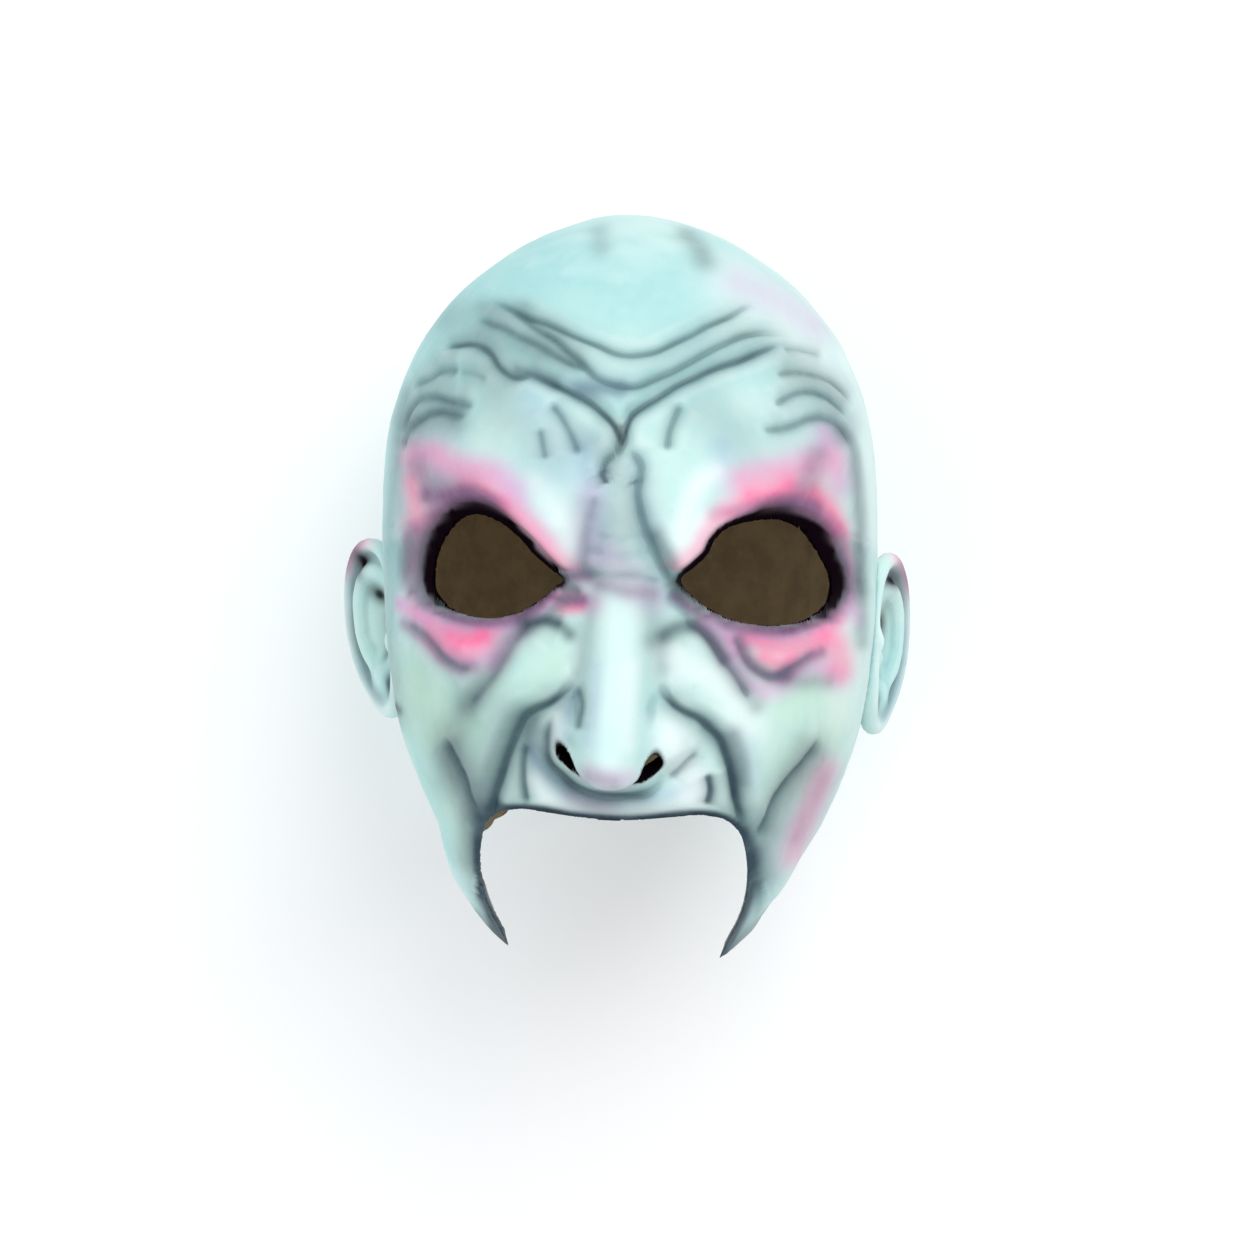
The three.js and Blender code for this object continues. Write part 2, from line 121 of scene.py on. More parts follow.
def through(stations, at):
    """A smooth value through stations of (position, value), held past either end."""
    places, values = np.array(stations, float).T
    at = np.clip(np.asarray(at, float), places[0], places[-1])
    before = np.maximum(np.arange(len(places)) - 1, 0)
    after = np.minimum(np.arange(len(places)) + 1, len(places) - 1)
    slopes = (values[after] - values[before]) / (places[after] - places[before])
    i = np.clip(np.searchsorted(places, at, side="right") - 1, 0, len(places) - 2)
    span = places[i + 1] - places[i]
    t = (at - places[i]) / span
    a = (1 + 2 * t) * (1 - t) ** 2
    b = t * (1 - t) ** 2
    return a * values[i] + (1 - a) * values[i + 1] + span * (b * slopes[i] - t * t * (1 - t) * slopes[i + 1])


def bare_head(angle, y):
    """Places on the bare head at angles round it, 0 in front, and at heights."""
    up = np.maximum(0, (y - DOME_FOOT) / (CROWN - DOME_FOOT))
    narrow, shallow = ((1 - up ** rise) ** turn for rise, turn in (TEMPLE_ROUNDNESS, CROWN_ROUNDNESS))
    foot = np.minimum(y, DOME_FOOT)
    middle = through(WIDEST_Z, foot)
    across, along = np.sin(angle), np.cos(angle)
    facing = along >= 0
    reach = np.where(facing, through(FRONT, foot) - middle, middle - through(BACK, foot)) * shallow
    power = np.where(facing, 2 / through(SQUARENESS, y), 1)
    x = through(HALF_WIDTH, foot) * narrow * np.sign(across) * np.abs(across) ** power
    z = middle + reach * np.sign(along) * np.abs(along) ** power
    return np.stack([x, y + 0 * x, z], axis=-1)


def settled(points):
    """The cast is not quite even: its nose and jaw lean to the left and its right side hangs a little low."""
    x, y, z = np.moveaxis(points, -1, 0)
    lean = np.maximum(smooth(0, -55, y) * smooth(5, 55, z), smooth(-68, -90, y))
    return np.stack([x - JAW_LEAN * lean, y - SIDE_DROP * x * smooth(30, 0, y), z], axis=-1)


# Soft forms of the face, alike on both halves: the overhanging brow over a sunken socket, the cheek
# that stands over the smile fold, and the swellings, each a height over the bare head.
EYE_MIDDLE = (37, 0)
EYE_STRETCH = {"left": 0.96, "right": 1.05}
BROW = [(6, -10), (11, -5), (15.5, -1), (19.5, 3), (24, 8), (30, 12.8), (36.5, 16.4), (44, 17.6), (52, 16.8),
        (59, 13)]
BROW_HEIGHT = [(0, 0), (0.12, 4), (0.26, 9), (0.45, 8), (0.68, 5.5), (0.86, 3.5), (1, 1.5)]
SMILE_FOLD = [(10, -32), (15.5, -34.5), (22.3, -39), (28, -45.4), (31.5, -54), (33.8, -62.8), (35.5, -72),
              (38, -84)]
BROW_STEP = 3.2
BROW_STEP_AT_TEMPLE = 7
BROW_REACH = 13
SOCKET_MIDDLE = (36, -1)
SOCKET_REACH = (25, 17)
SOCKET_DEPTH = 7
CHEEK_LIP = 3
CHEEK_REACH = 9
# Height, middle and reach of the root of the nose, the bag under the eye, the cheekbone, the upper lip,
# the muscle over the brow, and the dent of the temple.
SWELLINGS = [
    (2.2, (0, 14), (8, 17)),
    (3, (44, -22), (12, 6.5)),
    (3.2, (40, -40), (20, 14)),
    (3, (0, -66), (27, 9)),
    (1.8, (24, 42), (18, 13)),
    (-2.2, (69, 22), (9, 22)),
]


def drawn(points, steps=40, closed=False):
    """A smooth curve through points on the face, as short straight steps."""
    points = np.array(points, float)
    if closed:
        points = np.vstack([points[-2:], points, points[:3]])
    reach = np.concatenate([[0], np.cumsum(np.hypot(*np.diff(points, axis=0).T))])
    start, stop = (reach[2], reach[-3]) if closed else (0, reach[-1])
    at = np.linspace(start, stop, steps + 1)
    return np.stack([through(np.stack([reach, points[:, k]], 1), at) for k in (0, 1)], axis=1)


def nearest(curve, x, y):
    """How far places are from a curve, on which side (+1 to the left of its run), and how far along it."""
    far = np.full(x.shape, np.inf)
    side = np.ones(x.shape)
    along = np.zeros(x.shape)
    for k, ((ax, ay), (bx, by)) in enumerate(zip(curve[:-1], curve[1:])):
        dx, dy = bx - ax, by - ay
        t = np.clip(((x - ax) * dx + (y - ay) * dy) / (dx * dx + dy * dy), 0, 1)
        away = np.hypot(x - ax - t * dx, y - ay - t * dy)
        closer = away < far
        far = np.where(closer, away, far)
        side = np.where(closer, np.where(dx * (y - ay) - dy * (x - ax) >= 0, 1, -1), side)
        along = np.where(closer, (k + t) / (len(curve) - 1), along)
    return far, side, along


brow_edge = drawn(BROW)
smile_fold = drawn(SMILE_FOLD)


def rounded_spot(x, y, middle, reach, squareness):
    return np.exp(-(np.hypot((x - middle[0]) / reach[0], (y - middle[1]) / reach[1]) ** squareness))


def forms(x, y):
    """How far the brow, socket, cheek and swellings stand out from the bare head."""
    far, side, along = nearest(brow_edge, x, y)
    above = far * side
    slant = BROW_STEP + BROW_STEP_AT_TEMPLE * smooth(0.5, 0.9, along)
    under_brow = 1 - smooth(-BROW_STEP, slant, above)
    overhang = through(BROW_HEIGHT, along) * (1 - under_brow) * bell(np.maximum(0, above - slant), BROW_REACH)
    in_socket = rounded_spot(x, y, SOCKET_MIDDLE, SOCKET_REACH, 3)
    far, side, along = nearest(smile_fold, x, y)
    outside = far * side
    cheek_lip = smooth(-3, 3.5, outside) * bell(np.maximum(0, outside - 3), CHEEK_REACH)
    cheek_lip *= smooth(0.06, 0.34, along)
    made = overhang * smooth(5, 15, x + 0.25 * y)
    made -= SOCKET_DEPTH * in_socket * under_brow * smooth(9, 18, x)
    made += CHEEK_LIP * cheek_lip
    for high, at, reach in SWELLINGS:
        made += high * bell(x - at[0], reach[0]) * bell(y - at[1], reach[1])
    return made


def to_half(x):
    """The left half of the face is a little narrower than the right."""
    return np.abs(x) / np.where(x < 0, EYE_STRETCH["left"], EYE_STRETCH["right"])


# The long hooked nose with its wings, a height along z. Its tip droops by a share of its height.
NOSE_HEIGHT = [(-62, 20), (-56, 24.5), (-50, 26.5), (-44, 26), (-36, 22.5), (-24, 17.5), (-12, 12), (0, 6),
               (10, 2.4), (24, 0)]
NOSE_HALF_WIDTH = [(-60, 9.4), (-48, 10.2), (-36, 9), (-20, 8.4), (0, 9), (12, 9)]
NOSE_FOOT = -56.5
NOSE_DROOP = 0.13
WING_AT = (12.6, -45.5)
WING_REACH = (8.4, 11.5)
WING_HEIGHT = 12


def nose(x, y):
    foot = NOSE_FOOT + 0.02 * x * x
    tall = through(NOSE_HEIGHT, y)
    crest = np.exp(-((x / through(NOSE_HALF_WIDTH, y)) ** 3))
    ridge = tall * (0.72 * crest + 0.28 * bell(x, 16))
    wing = WING_HEIGHT * rounded_spot(x, y, WING_AT, WING_REACH, 2.8)
    return (ridge ** 3 + wing ** 3) ** (1 / 3) * smooth(foot - 5, foot + 2.5, y)


# Furrows of the face, each modelled in the clay and then picked out with the airbrush: its line on the
# face, how deep and wide it is, and how strong and broad its shade is. A depth of 0 is paint alone.
FIRST = [(-40, 76.5), (-34.3, 73.7), (-28.4, 70.8), (-22.6, 68.1), (-17.8, 65.6), (-12.7, 63.5), (-7.8, 61.4),
         (-2.1, 59.2), (4.1, 58.6), (9.5, 59.6), (14.8, 62.6), (19.4, 65.3), (23.9, 68), (28.5, 70.2),
         (32.7, 72.5), (38, 75.4)]
SECOND = [(-33.2, 72.5), (-28.4, 69.8), (-22.5, 65.2), (-17.7, 61.8), (-13.1, 57.5), (-10.3, 54.6),
          (-7.7, 52.3), (-3, 50.4), (2.4, 50.1), (8.1, 52), (12.5, 53.9), (17.2, 56.6), (21.7, 59.4),
          (26.3, 61.8), (31.7, 64.2), (37.7, 65.5), (43.8, 66.2), (48.7, 65.8)]
VEE = [(-48.2, 63.1), (-42, 62), (-36, 58.6), (-31, 55.4), (-25.9, 54), (-22.1, 52.4), (-18.4, 50.7),
       (-13.7, 48.3), (-9.3, 46), (-5.6, 42.7), (-2.9, 39.5), (-0.6, 35), (0.8, 39), (2.2, 41.8),
       (5.4, 44.6), (9.8, 47.2), (14.8, 50), (19.4, 52.4), (24.3, 54.9), (30.7, 57.4), (35.4, 59.4),
       (39.5, 61.2), (44.3, 63.3), (47.6, 64.7)]
LEFT_BAG = [(-62.4, -15.4), (-60.5, -16.1), (-58.1, -17.4), (-55.3, -18.9), (-52.6, -21.5), (-50.6, -24.1),
            (-47.9, -25.8), (-44.9, -26.8), (-41.4, -26.5)]
RIGHT_BAG = [(30.6, -17.4), (31.4, -19.7), (33, -23.5), (35.1, -26.2), (37.5, -27.9), (40.6, -29.1),
             (43.8, -28.6), (47, -26.7), (50.1, -24.5), (54, -22.8)]
RIGHT_TROUGH = [(16, -14.2), (19.9, -15.3), (22.6, -17.6), (24.9, -20.7), (26.8, -23.5), (29.8, -27.2),
                (32, -31), (35, -35.8)]
SLATE_STROKES = [
    (FIRST, 1.35, 1.6, 0.5, 1.5),
    (SECOND, 1.4, 1.7, 0.5, 2.1),
    ([(-52, 62.6), (-48.2, 63.1), (-42, 62.5), (-37.4, 60.6), (-34.4, 56.1), (-30.1, 53.2), (-25, 53.2)],
     1.2, 1.6, 0.62, 1.6),
    (VEE[3:], 1.5, 1.5, 0.8, 1.3),
    ([(-43, 71.2), (-37, 68.1), (-32.9, 66.6), (-27.1, 63.4), (-21.4, 60.4), (-15.8, 57.1), (-10, 53.6)],
     0.7, 1.7, 0.56, 2.1),
    ([(43.4, 61), (48.5, 61.3), (56, 60.6)], 0.5, 1.3, 0.34, 1.4),
    # arcs at the outer ends of the brows
    ([(-61, 51.6), (-59.1, 52.7), (-55.3, 53.6), (-51.7, 55.3), (-46, 54.8)], 0.8, 1.8, 0.4, 2.8),
    ([(-46.4, 54.9), (-41.5, 54.3), (-37.6, 52.4)], 0, 1, 0.26, 1.5),
    ([(-63.6, 38.6), (-61.5, 44.6), (-58.9, 47.4), (-53.9, 48.3), (-49.3, 47.2), (-41, 45.2)],
     1, 2, 0.48, 2.8),
    ([(-63.4, 33), (-62.2, 37.6), (-60.7, 40.3), (-57.4, 42.4), (-52.7, 43.8), (-48.6, 43.7), (-43, 42)],
     1, 2, 0.52, 2.8),
    ([(41, 53.6), (48.4, 54.5), (53.2, 54.3), (57.6, 53.3), (61.2, 51.2), (65, 47.6)], 0.8, 1.5, 0.42, 1.9),
    ([(40.6, 45.2), (46.9, 48.6), (51.6, 49.4), (55.6, 48.5), (59, 46.6), (62.6, 43.8)], 1, 1.7, 0.42, 1.8),
    ([(37, 38.2), (44.4, 39.6), (49.1, 41.3), (54, 42.5), (57.8, 41.7), (60.7, 39.5), (64, 34)],
     1, 2, 0.4, 2.8),
    # frown lines over the root of the nose
    ([(-20, 46), (-19.1, 44.7), (-16.5, 41.4), (-14.2, 37.2), (-12.4, 30.6)], 1, 1.8, 0.46, 1.7),
    ([(-22.6, 38.4), (-21.9, 33.8), (-21.2, 29.6)], 0.6, 1.6, 0.34, 1.7),
    ([(16, 45.6), (13.6, 39.9), (12.5, 36.4), (12.1, 31.4)], 1.1, 1.7, 0.46, 1.5),
    ([(-0.7, 34), (-3, 31.3), (-4.6, 29.3), (-5.6, 25.4)], 1.1, 1.5, 0.6, 1.2),
    ([(-0.5, 34), (2.6, 31.3), (5, 27.4), (4.6, 20), (6, 12), (8.8, 5.4), (11.9, -1), (15, -5)],
     1.3, 1.7, 0.45, 1.7),
    ([(-6.4, 26.8), (-4.2, 22.8)], 0.6, 1.2, 0.75, 1.6),
    ([(3.2, 24.4), (3.8, 23)], 0.5, 1.2, 0.45, 1.3),
    ([(-7.6, 21), (-9, 12), (-10.4, 4), (-11.6, -1.6)], 0.5, 2.4, 0.24, 3.2),
    ([(-14, -1), (-6.2, -1.1), (4.6, -1.4), (11.4, -4.1)], 0.6, 1.5, 0.2, 1.7),
    # under the eye holes
    (LEFT_BAG, 0.9, 2.1, 0.3, 2.4),
    (RIGHT_BAG, 1, 1.9, 0.28, 1.7),
    ([(-25.6, -14.2), (-28.2, -16.9), (-31.1, -20.4), (-33.6, -24.6), (-36.1, -28.5), (-38.9, -32.2),
      (-43, -37.4)], 1.1, 3.2, 0.12, 2.8),
    ([(-28, -14.6), (-21.6, -13.7), (-15.6, -15.2)], 0.6, 2, 0.5, 2.2),
    (RIGHT_TROUGH, 1.3, 2.1, 0.34, 2.1),
    # beside the nose, down to the corners of the notch
    ([(-12, -30.4), (-15.1, -31.7), (-17.7, -34.1), (-20, -36), (-23.8, -37.7), (-26.8, -39.2),
      (-28.7, -42.3), (-30.6, -47), (-32.5, -51.7), (-34.2, -56.4), (-35.5, -61.1), (-36.5, -66.1),
      (-38.4, -74)], 2, 2, 0.86, 2),
    ([(9.2, -30.8), (12.8, -34.5), (15.1, -37.1), (17.4, -38.8), (20.4, -40.4), (23.4, -42.7), (26.2, -45.5),
      (28, -49.4), (29.6, -53.9), (30.7, -58.7), (31.4, -63.8), (33, -73)], 2, 2, 0.85, 1.8),
    ([(-13, -31), (-11.3, -33), (-10.7, -35.8), (-11.3, -39.1), (-11.9, -43)], 0.8, 1.5, 0.55, 1.4),
    # round the wings and under the tip of the nose: a furrow, and painted shadow under the nose
    ([(-18.6, -38), (-20.3, -43.4), (-20.7, -47.5), (-20.1, -51.2), (-16.8, -55), (-12.7, -58.6),
      (-7.6, -60.6), (-0.6, -61.4), (6.8, -60.6), (11.4, -57.4)], 1.6, 1.9, 0.72, 1.9),
    ([(12.6, -56.4), (16.7, -52.1), (20.6, -48.6)], 0.9, 1.5, 0.36, 1.4),
    ([(-26.6, -46.6), (-27.3, -53.1), (-27.5, -57.7), (-26.6, -64)], 1.1, 2, 0.66, 1.9),
    ([(22.8, -54.6), (23.5, -59.7), (22.6, -64.6)], 1.3, 1.7, 0.82, 1.7),
    # hollows of the cheeks
    ([(-50.4, -46), (-47.4, -51), (-45.2, -55), (-43.1, -59.1), (-41.2, -64.9), (-40.4, -72)],
     1.5, 2.6, 0.55, 2.3),
    ([(55, -47), (52.8, -49.9), (49.3, -54.4), (45.3, -58.8), (42.1, -63.3), (39.8, -67.9), (37, -75)],
     1.5, 2.6, 0.55, 2.4),
]


WAVER = 0.3
WAVER_LENGTH = 9
DEEPEST_FURROW = 2.2


def wandering(places, by=WAVER, size=WAVER_LENGTH):
    """Places moved about a little, so that a line drawn through them wavers as one cut by hand does."""
    u, v = places[:, 0] / size, places[:, 1] / size
    shift_x = np.sin(1.3 * u + 2.1 * np.sin(0.9 * v + 0.4)) + 0.6 * np.sin(2.9 * v + 1.7 * np.sin(2.3 * u))
    shift_y = np.sin(1.5 * v + 1.8 * np.sin(1.1 * u + 2)) + 0.6 * np.sin(3.1 * u + 1.9 * np.sin(2.1 * v + 1))
    return places + by * np.stack([shift_x, shift_y, 0 * u], axis=1)


def tree_of(points):
    tree = kdtree.KDTree(len(points))
    for i, point in enumerate(points):
        tree.insert(point, i)
    tree.balance()
    return tree


def laid_on(surface, tree, points, steps):
    """A line drawn on the front of the face, brought onto the surface under it."""
    curve = drawn(points, steps)
    made = []
    for x, y in curve:
        found = [(surface[index][2], 1 / (gap + 0.05)) for _, index, gap in tree.find_n((x, y, 0), 4)]
        made.append((x, y, sum(z * w for z, w in found) / sum(w for _, w in found)))
    return np.array(made)


def from_line(line, places, reach):
    """How far places are from a line on the surface, up to a reach, and how far along it they are."""
    far = np.full(len(places), 1e3)
    along = np.zeros(len(places))
    near = np.all((places > line.min(0) - reach) & (places < line.max(0) + reach), axis=1)
    there = places[near]
    least, at = np.full(len(there), 1e3), np.zeros(len(there))
    for k, (start, stop) in enumerate(zip(line[:-1], line[1:])):
        run = stop - start
        t = np.clip((there - start) @ run / (run @ run), 0, 1)
        away = np.linalg.norm(there - start - t[:, None] * run, axis=1)
        closer = away < least
        least = np.where(closer, away, least)
        at = np.where(closer, (k + t) / (len(line) - 1), at)
    far[near], along[near] = least, at
    return far, along


def furrows(surface, tree):
    places = wandering(surface)
    cut = np.zeros(len(surface))
    for points, depth, width, _, _ in SLATE_STROKES:
        if depth:
            far, along = from_line(laid_on(surface, tree, points, 10 * len(points)), places, 6 * width)
            strength = smooth(0, 0.1, along) * smooth(1, 0.9, along)
            fold = 0.34 * depth * bell(far - 2.4 * width, 1.5 * width)
            cut += strength * (fold - depth * (0.6 * bell(far, 0.55 * width) + 0.4 * bell(far, 1.4 * width)))
    return np.maximum(cut, -DEEPEST_FURROW)


# Small forms that only the outer face has: a rolled rim round each eye hole with a pouch under it,
# wrinkles across the bridge, folds at the nape, and the slight unevenness of a clay model.
RIM_HEIGHT = 1.3
RIM_WIDTH = 2.2
POUCH_HEIGHT = 0.7
BRIDGE_WRINKLES = [-1.5, 3.5, 8.5]
WRINKLE_DEPTH = 0.35
NAPE_FOLDS = [(-38, 1), (-52, 0.7)]
EYE_HOLES = {
    "left": [(-16.4, -2.9), (-20.4, 0.4), (-25.4, 4.8), (-29.6, 9.5), (-35, 13.4), (-41.2, 15.2),
             (-46.6, 12.9), (-51, 7.4), (-53.3, 0.6), (-53.2, -5.2), (-49.6, -9.6), (-43.2, -12.4),
             (-36, -13.2), (-28.4, -11.2), (-22.4, -7.6), (-18.4, -4.2)],
    "right": [(15.6, -2.7), (19.6, 1), (22.9, 4.2), (24.8, 8), (27.8, 10.9), (33, 12.9), (40, 13.7),
              (45.8, 12.5), (50.6, 8.8), (54.8, 2.6), (57.4, -3.9), (56.2, -9), (52.4, -12.4), (46, -14.8),
              (38.5, -15.2), (31.5, -14), (24.6, -11.2), (19, -7.2)],
}

eye_holes = [drawn(outline, 120, closed=True) for outline in EYE_HOLES.values()]


def from_eye_hole(x, y):
    """How far places are outside the nearer eye hole."""
    left_far, left_side, _ = nearest(eye_holes[0], x, y)
    right_far, right_side, _ = nearest(eye_holes[1], x, y)
    return np.where(x < 0, -left_far * left_side, right_far * right_side)


def small_forms(x, y):
    outside = from_eye_hole(x, y)
    made = RIM_HEIGHT * bell(outside - 0.8, RIM_WIDTH) * smooth(6, -4, y)
    made += POUCH_HEIGHT * bell(outside - 8, 3) * smooth(-6, -14, y)
    for height in BRIDGE_WRINKLES:
        made -= WRINKLE_DEPTH * bell(y - height - 0.03 * x * x, 1) * bell(x, 7)
    return made


def nape_folds(points):
    """Two shallow folds across the back of the neck."""
    x, y, z = np.moveaxis(points, -1, 0)
    made = np.zeros(x.shape)
    for height, depth in NAPE_FOLDS:
        from_fold = y - height - 0.006 * x * x
        made += depth * (0.45 * bell(from_fold - 6, 4.4) - bell(from_fold, 2.2))
    return made * smooth(-40, -75, z) * smooth(54, 26, np.abs(x))


def unevenness(points):
    """The lumps that the modeller's fingers leave: two sizes, each as (height, size)."""
    made = 0
    for height, size in ((0.35, 11), (0.1, 3.6)):
        made = made + height * np.array([noise.noise(Vector(p) / size) for p in points.reshape(-1, 3)])
    return made.reshape(points.shape[:-1])


# The skins of the casting: a net of rows and columns round the head. The rows follow the brows and the
# three long furrows of the forehead, so that no crease runs across them in steps.
BROW_ROW = [(-68, 8)] + [(-x, y) for x, y in BROW[:0:-1]] + [(0, -8)] + BROW[1:] + [(68, 8)]
OVER_SECOND = [(-45, 70), (-31, 65.2), (-22, 60.6), (-13, 55.4), (-6, 51.4), (1.5, 50), (10, 52.4),
               (17, 56.4), (26, 61.6), (36, 65.4), (46, 68), (58, 70)]
OVER_FIRST = [(-60, 87), (-40, 86), (-20, 81), (0, 78), (20, 81), (40, 86), (60, 87)]
ROW_LINES = [(-13.5, [(-1, -13.5), (1, -13.5)]), (-8, BROW_ROW), (32.6, VEE), (49.4, OVER_SECOND),
             (58.4, FIRST), (78, OVER_FIRST), (104, [(-1, 104), (1, 104)])]


def risen(x, row, angle):
    """The height of a row of the net where it crosses the face, drawn towards the nearest creases."""
    if not ROW_LINES[0][0] < row < ROW_LINES[-1][0]:
        return np.full(x.shape, row)
    i = next(k for k, (y, _) in enumerate(ROW_LINES) if y >= row)
    (low_y, low), (high_y, high) = ROW_LINES[i - 1], ROW_LINES[i]
    t = (row - low_y) / (high_y - low_y)
    rise = (1 - t) * through(low, x) + t * through(high, x) - row
    return row + rise * smooth(2.9, 1.5, np.minimum(angle, 2 * math.pi - angle))


def columns(spacing, last, back_steps):
    """The angles of the columns round the head: even over the face, closer by the ears, wider behind."""
    half = np.arcsin(np.arange(0, last, spacing) / DOME_HALF_WIDTH)
    by_ears = np.linspace(half[-1], 2.1, back_steps)[1:]
    back = np.concatenate([by_ears, np.linspace(2.1, math.pi, back_steps // 2)[1:]])
    right = np.concatenate([half, back])
    return np.concatenate([right, 2 * math.pi - right[-2:0:-1]])


def bare_net(heights, angles):
    """The points of the bare head in rows, and which way is outward at each."""
    rows = []
    for row in heights:
        y = risen(bare_head(angles, np.full(angles.shape, float(row)))[:, 0], row, angles)
        rows.append(bare_head(angles, np.minimum(CROWN - 0.6, y)))
    net = np.stack(rows)
    up = np.vstack([net[:1], net[:-1]])
    down = np.vstack([net[1:], net[-1:]])
    outward = np.cross(up - down, np.roll(net, 1, 1) - np.roll(net, -1, 1))
    return net, outward / np.linalg.norm(outward, axis=-1, keepdims=True)


def lowest(field, x, y, inset):
    """The lowest height within a wall's thickness, so that the inside never comes through the outside."""
    least = field(x, y)
    for turn in np.linspace(0, 2 * math.pi, 8, endpoint=False):
        least = np.minimum(least, field(np.abs(x + inset * math.cos(turn)), y + inset * math.sin(turn)))
    return least


def raised(net, outward, height, tall, inset=0, behind=0):
    """A bare net with the face's heights on its front, the nose standing on it, and other heights behind."""
    front = smooth(4, 34, net[..., 2])
    made = net + outward * (front * height + (1 - front) * behind - inset)[..., None]
    made[..., 2] = np.maximum(made[..., 2] + front * tall, REST_Z + inset)
    made[..., 1] -= NOSE_DROOP * front * tall * smooth(8, 24, front * tall)
    return settled(made)


def closed_net(net, top, bottom):
    """Points and faces of a net closed at both ends, each quad split along its shorter diagonal."""
    rows, wide = net.shape[:2]
    points = np.vstack([[top], net.reshape(-1, 3), [bottom]])
    j = np.arange(wide)
    nxt = (j + 1) % wide
    faces = [np.stack([0 * j, 1 + j, 1 + nxt], 1)]
    for i in range(rows - 1):
        a, b = 1 + i * wide + j, 1 + (i + 1) * wide + j
        c, d = 1 + (i + 1) * wide + nxt, 1 + i * wide + nxt
        shorter = (np.linalg.norm(points[a] - points[c], axis=1)
                   < np.linalg.norm(points[b] - points[d], axis=1))
        faces.append(np.where(shorter[:, None], np.stack([a, b, c], 1), np.stack([a, b, d], 1)))
        faces.append(np.where(shorter[:, None], np.stack([a, c, d], 1), np.stack([b, c, d], 1)))
    low = 1 + (rows - 1) * wide
    faces.append(np.stack([0 * j + len(points) - 1, low + nxt, low + j], 1))
    return points, np.vstack(faces)


# Which surface of the casting a face belongs to, kept through the cutting.
SURFACES = ["outer", "inner", "cut", "ear"]
marks = [bpy.data.materials.new(surface) for surface in SURFACES]


def solid(name, points, faces, surface):
    mesh = bpy.data.meshes.new(name)
    mesh.from_pydata([in_frame(p) for p in points], [], faces if isinstance(faces, list) else faces.tolist())
    for mark in marks:
        mesh.materials.append(mark)
    mesh.polygons.foreach_set("material_index", [SURFACES.index(surface)] * len(mesh.polygons))
    made = bpy.data.objects.new(name, mesh)
    bpy.context.scene.collection.objects.link(made)
    return made


OUTER_HEIGHTS = np.concatenate([np.arange(103.8, 81, -1.3), np.arange(80, -66, -0.66),
                                np.arange(-66, -119, -1.2)])
INNER_HEIGHTS = np.concatenate([np.arange(101, -66, -2), np.arange(-66, -125, -3)])
outer_bare, outer_ways = bare_net(OUTER_HEIGHTS, columns(spacing=0.66, last=71.3, back_steps=28))
bare_x, bare_y = outer_bare[..., 0], outer_bare[..., 1]
half_x = to_half(bare_x)
soft_height = forms(half_x, bare_y)
soft_net = raised(outer_bare, outer_ways, soft_height, nose(half_x, bare_y))
face_x, face_y = soft_net[..., 0], soft_net[..., 1]
soft_surface = soft_net.reshape(-1, 3)
facing_up = np.where(soft_surface[:, 2:] > 4, soft_surface * (1, 1, 0), (0, 0, 1e4))
face_tree = tree_of(facing_up)
cut_in = furrows(soft_surface, face_tree).reshape(face_x.shape)
uneven = unevenness(outer_bare)
outer_height = soft_height + cut_in + small_forms(face_x, face_y) + uneven
outer_net = raised(outer_bare, outer_ways, outer_height, nose(half_x, bare_y),
                   behind=uneven + nape_folds(outer_bare))
outer_points, outer_faces = closed_net(outer_net, (0, CROWN, AXIS_Z), (0, -122, 0))
mask = solid("latex_mask_cast", outer_points, outer_faces, "outer")

inner_bare, inner_ways = bare_net(INNER_HEIGHTS, columns(spacing=2.2, last=70, back_steps=16))
inner_half = to_half(inner_bare[..., 0])
inner_net = raised(inner_bare, inner_ways, lowest(forms, inner_half, inner_bare[..., 1], WALL),
                   lowest(nose, inner_half, inner_bare[..., 1], WALL), inset=WALL)
hollow = solid("hollow", *closed_net(inner_net, (0, CROWN - WALL, AXIS_Z), (0, -126, 0)), "inner")

# The ears, cast with the head: a rolled rim that runs into the bowl, an inner ridge, the small flap
# before the bowl, and a soft lobe. Each is a shallow dish that stands out from the side of the head.
EAR_AT = np.array([76, -19.5, -14])
EAR_REACH = 16.5
EAR_HALF = 27
EAR_THICK = 3
EAR_DOME = 6
EAR_FLARE = {"left": math.radians(32), "right": math.radians(20)}
EAR_RIM = [(0.985, 1.9), (1.0, 0.5), (0.99, -1.0), (0.96, -2.3)]
EAR_DISH = np.linspace(0.05, 0.96, 30)
EAR_BACK = np.linspace(0.9, 0.08, 9)
EAR_ANGLES = np.linspace(0, 2 * math.pi, 80, endpoint=False)


def ear_relief(share, angle):
    """How far the front of an ear stands out of its dish, by share of its reach and angle, 0 to the rear."""
    u, v = share * np.cos(angle), share * np.sin(angle)
    rearward = smooth(-0.5, 0.3, np.cos(angle))
    lobe = smooth(-0.6, -0.95, np.sin(angle))
    rim = 3 * bell(share - 0.91, 0.08) * (1 - 0.8 * lobe)
    groove = -0.5 * bell(share - 0.75, 0.07) * rearward * (1 - lobe)
    ridge = 3 * bell(share - 0.56 - 0.05 * np.sin(angle), 0.1) * rearward * (1 - lobe)
    bowl = -5.5 * bell(u + 0.1, 0.36) * bell(v + 0.02, 0.42)
    root = 2.2 * bell(v - 0.16 - 0.25 * (u + 0.4), 0.08) * smooth(0, -0.35, u)
    flap = 3 * bell(u + 0.55, 0.16) * bell(v + 0.14, 0.18)
    heel = 1.8 * bell(u - 0.02, 0.2) * bell(v + 0.52, 0.13)
    return rim + groove + ridge + bowl + root + flap + heel + 2 * lobe * share


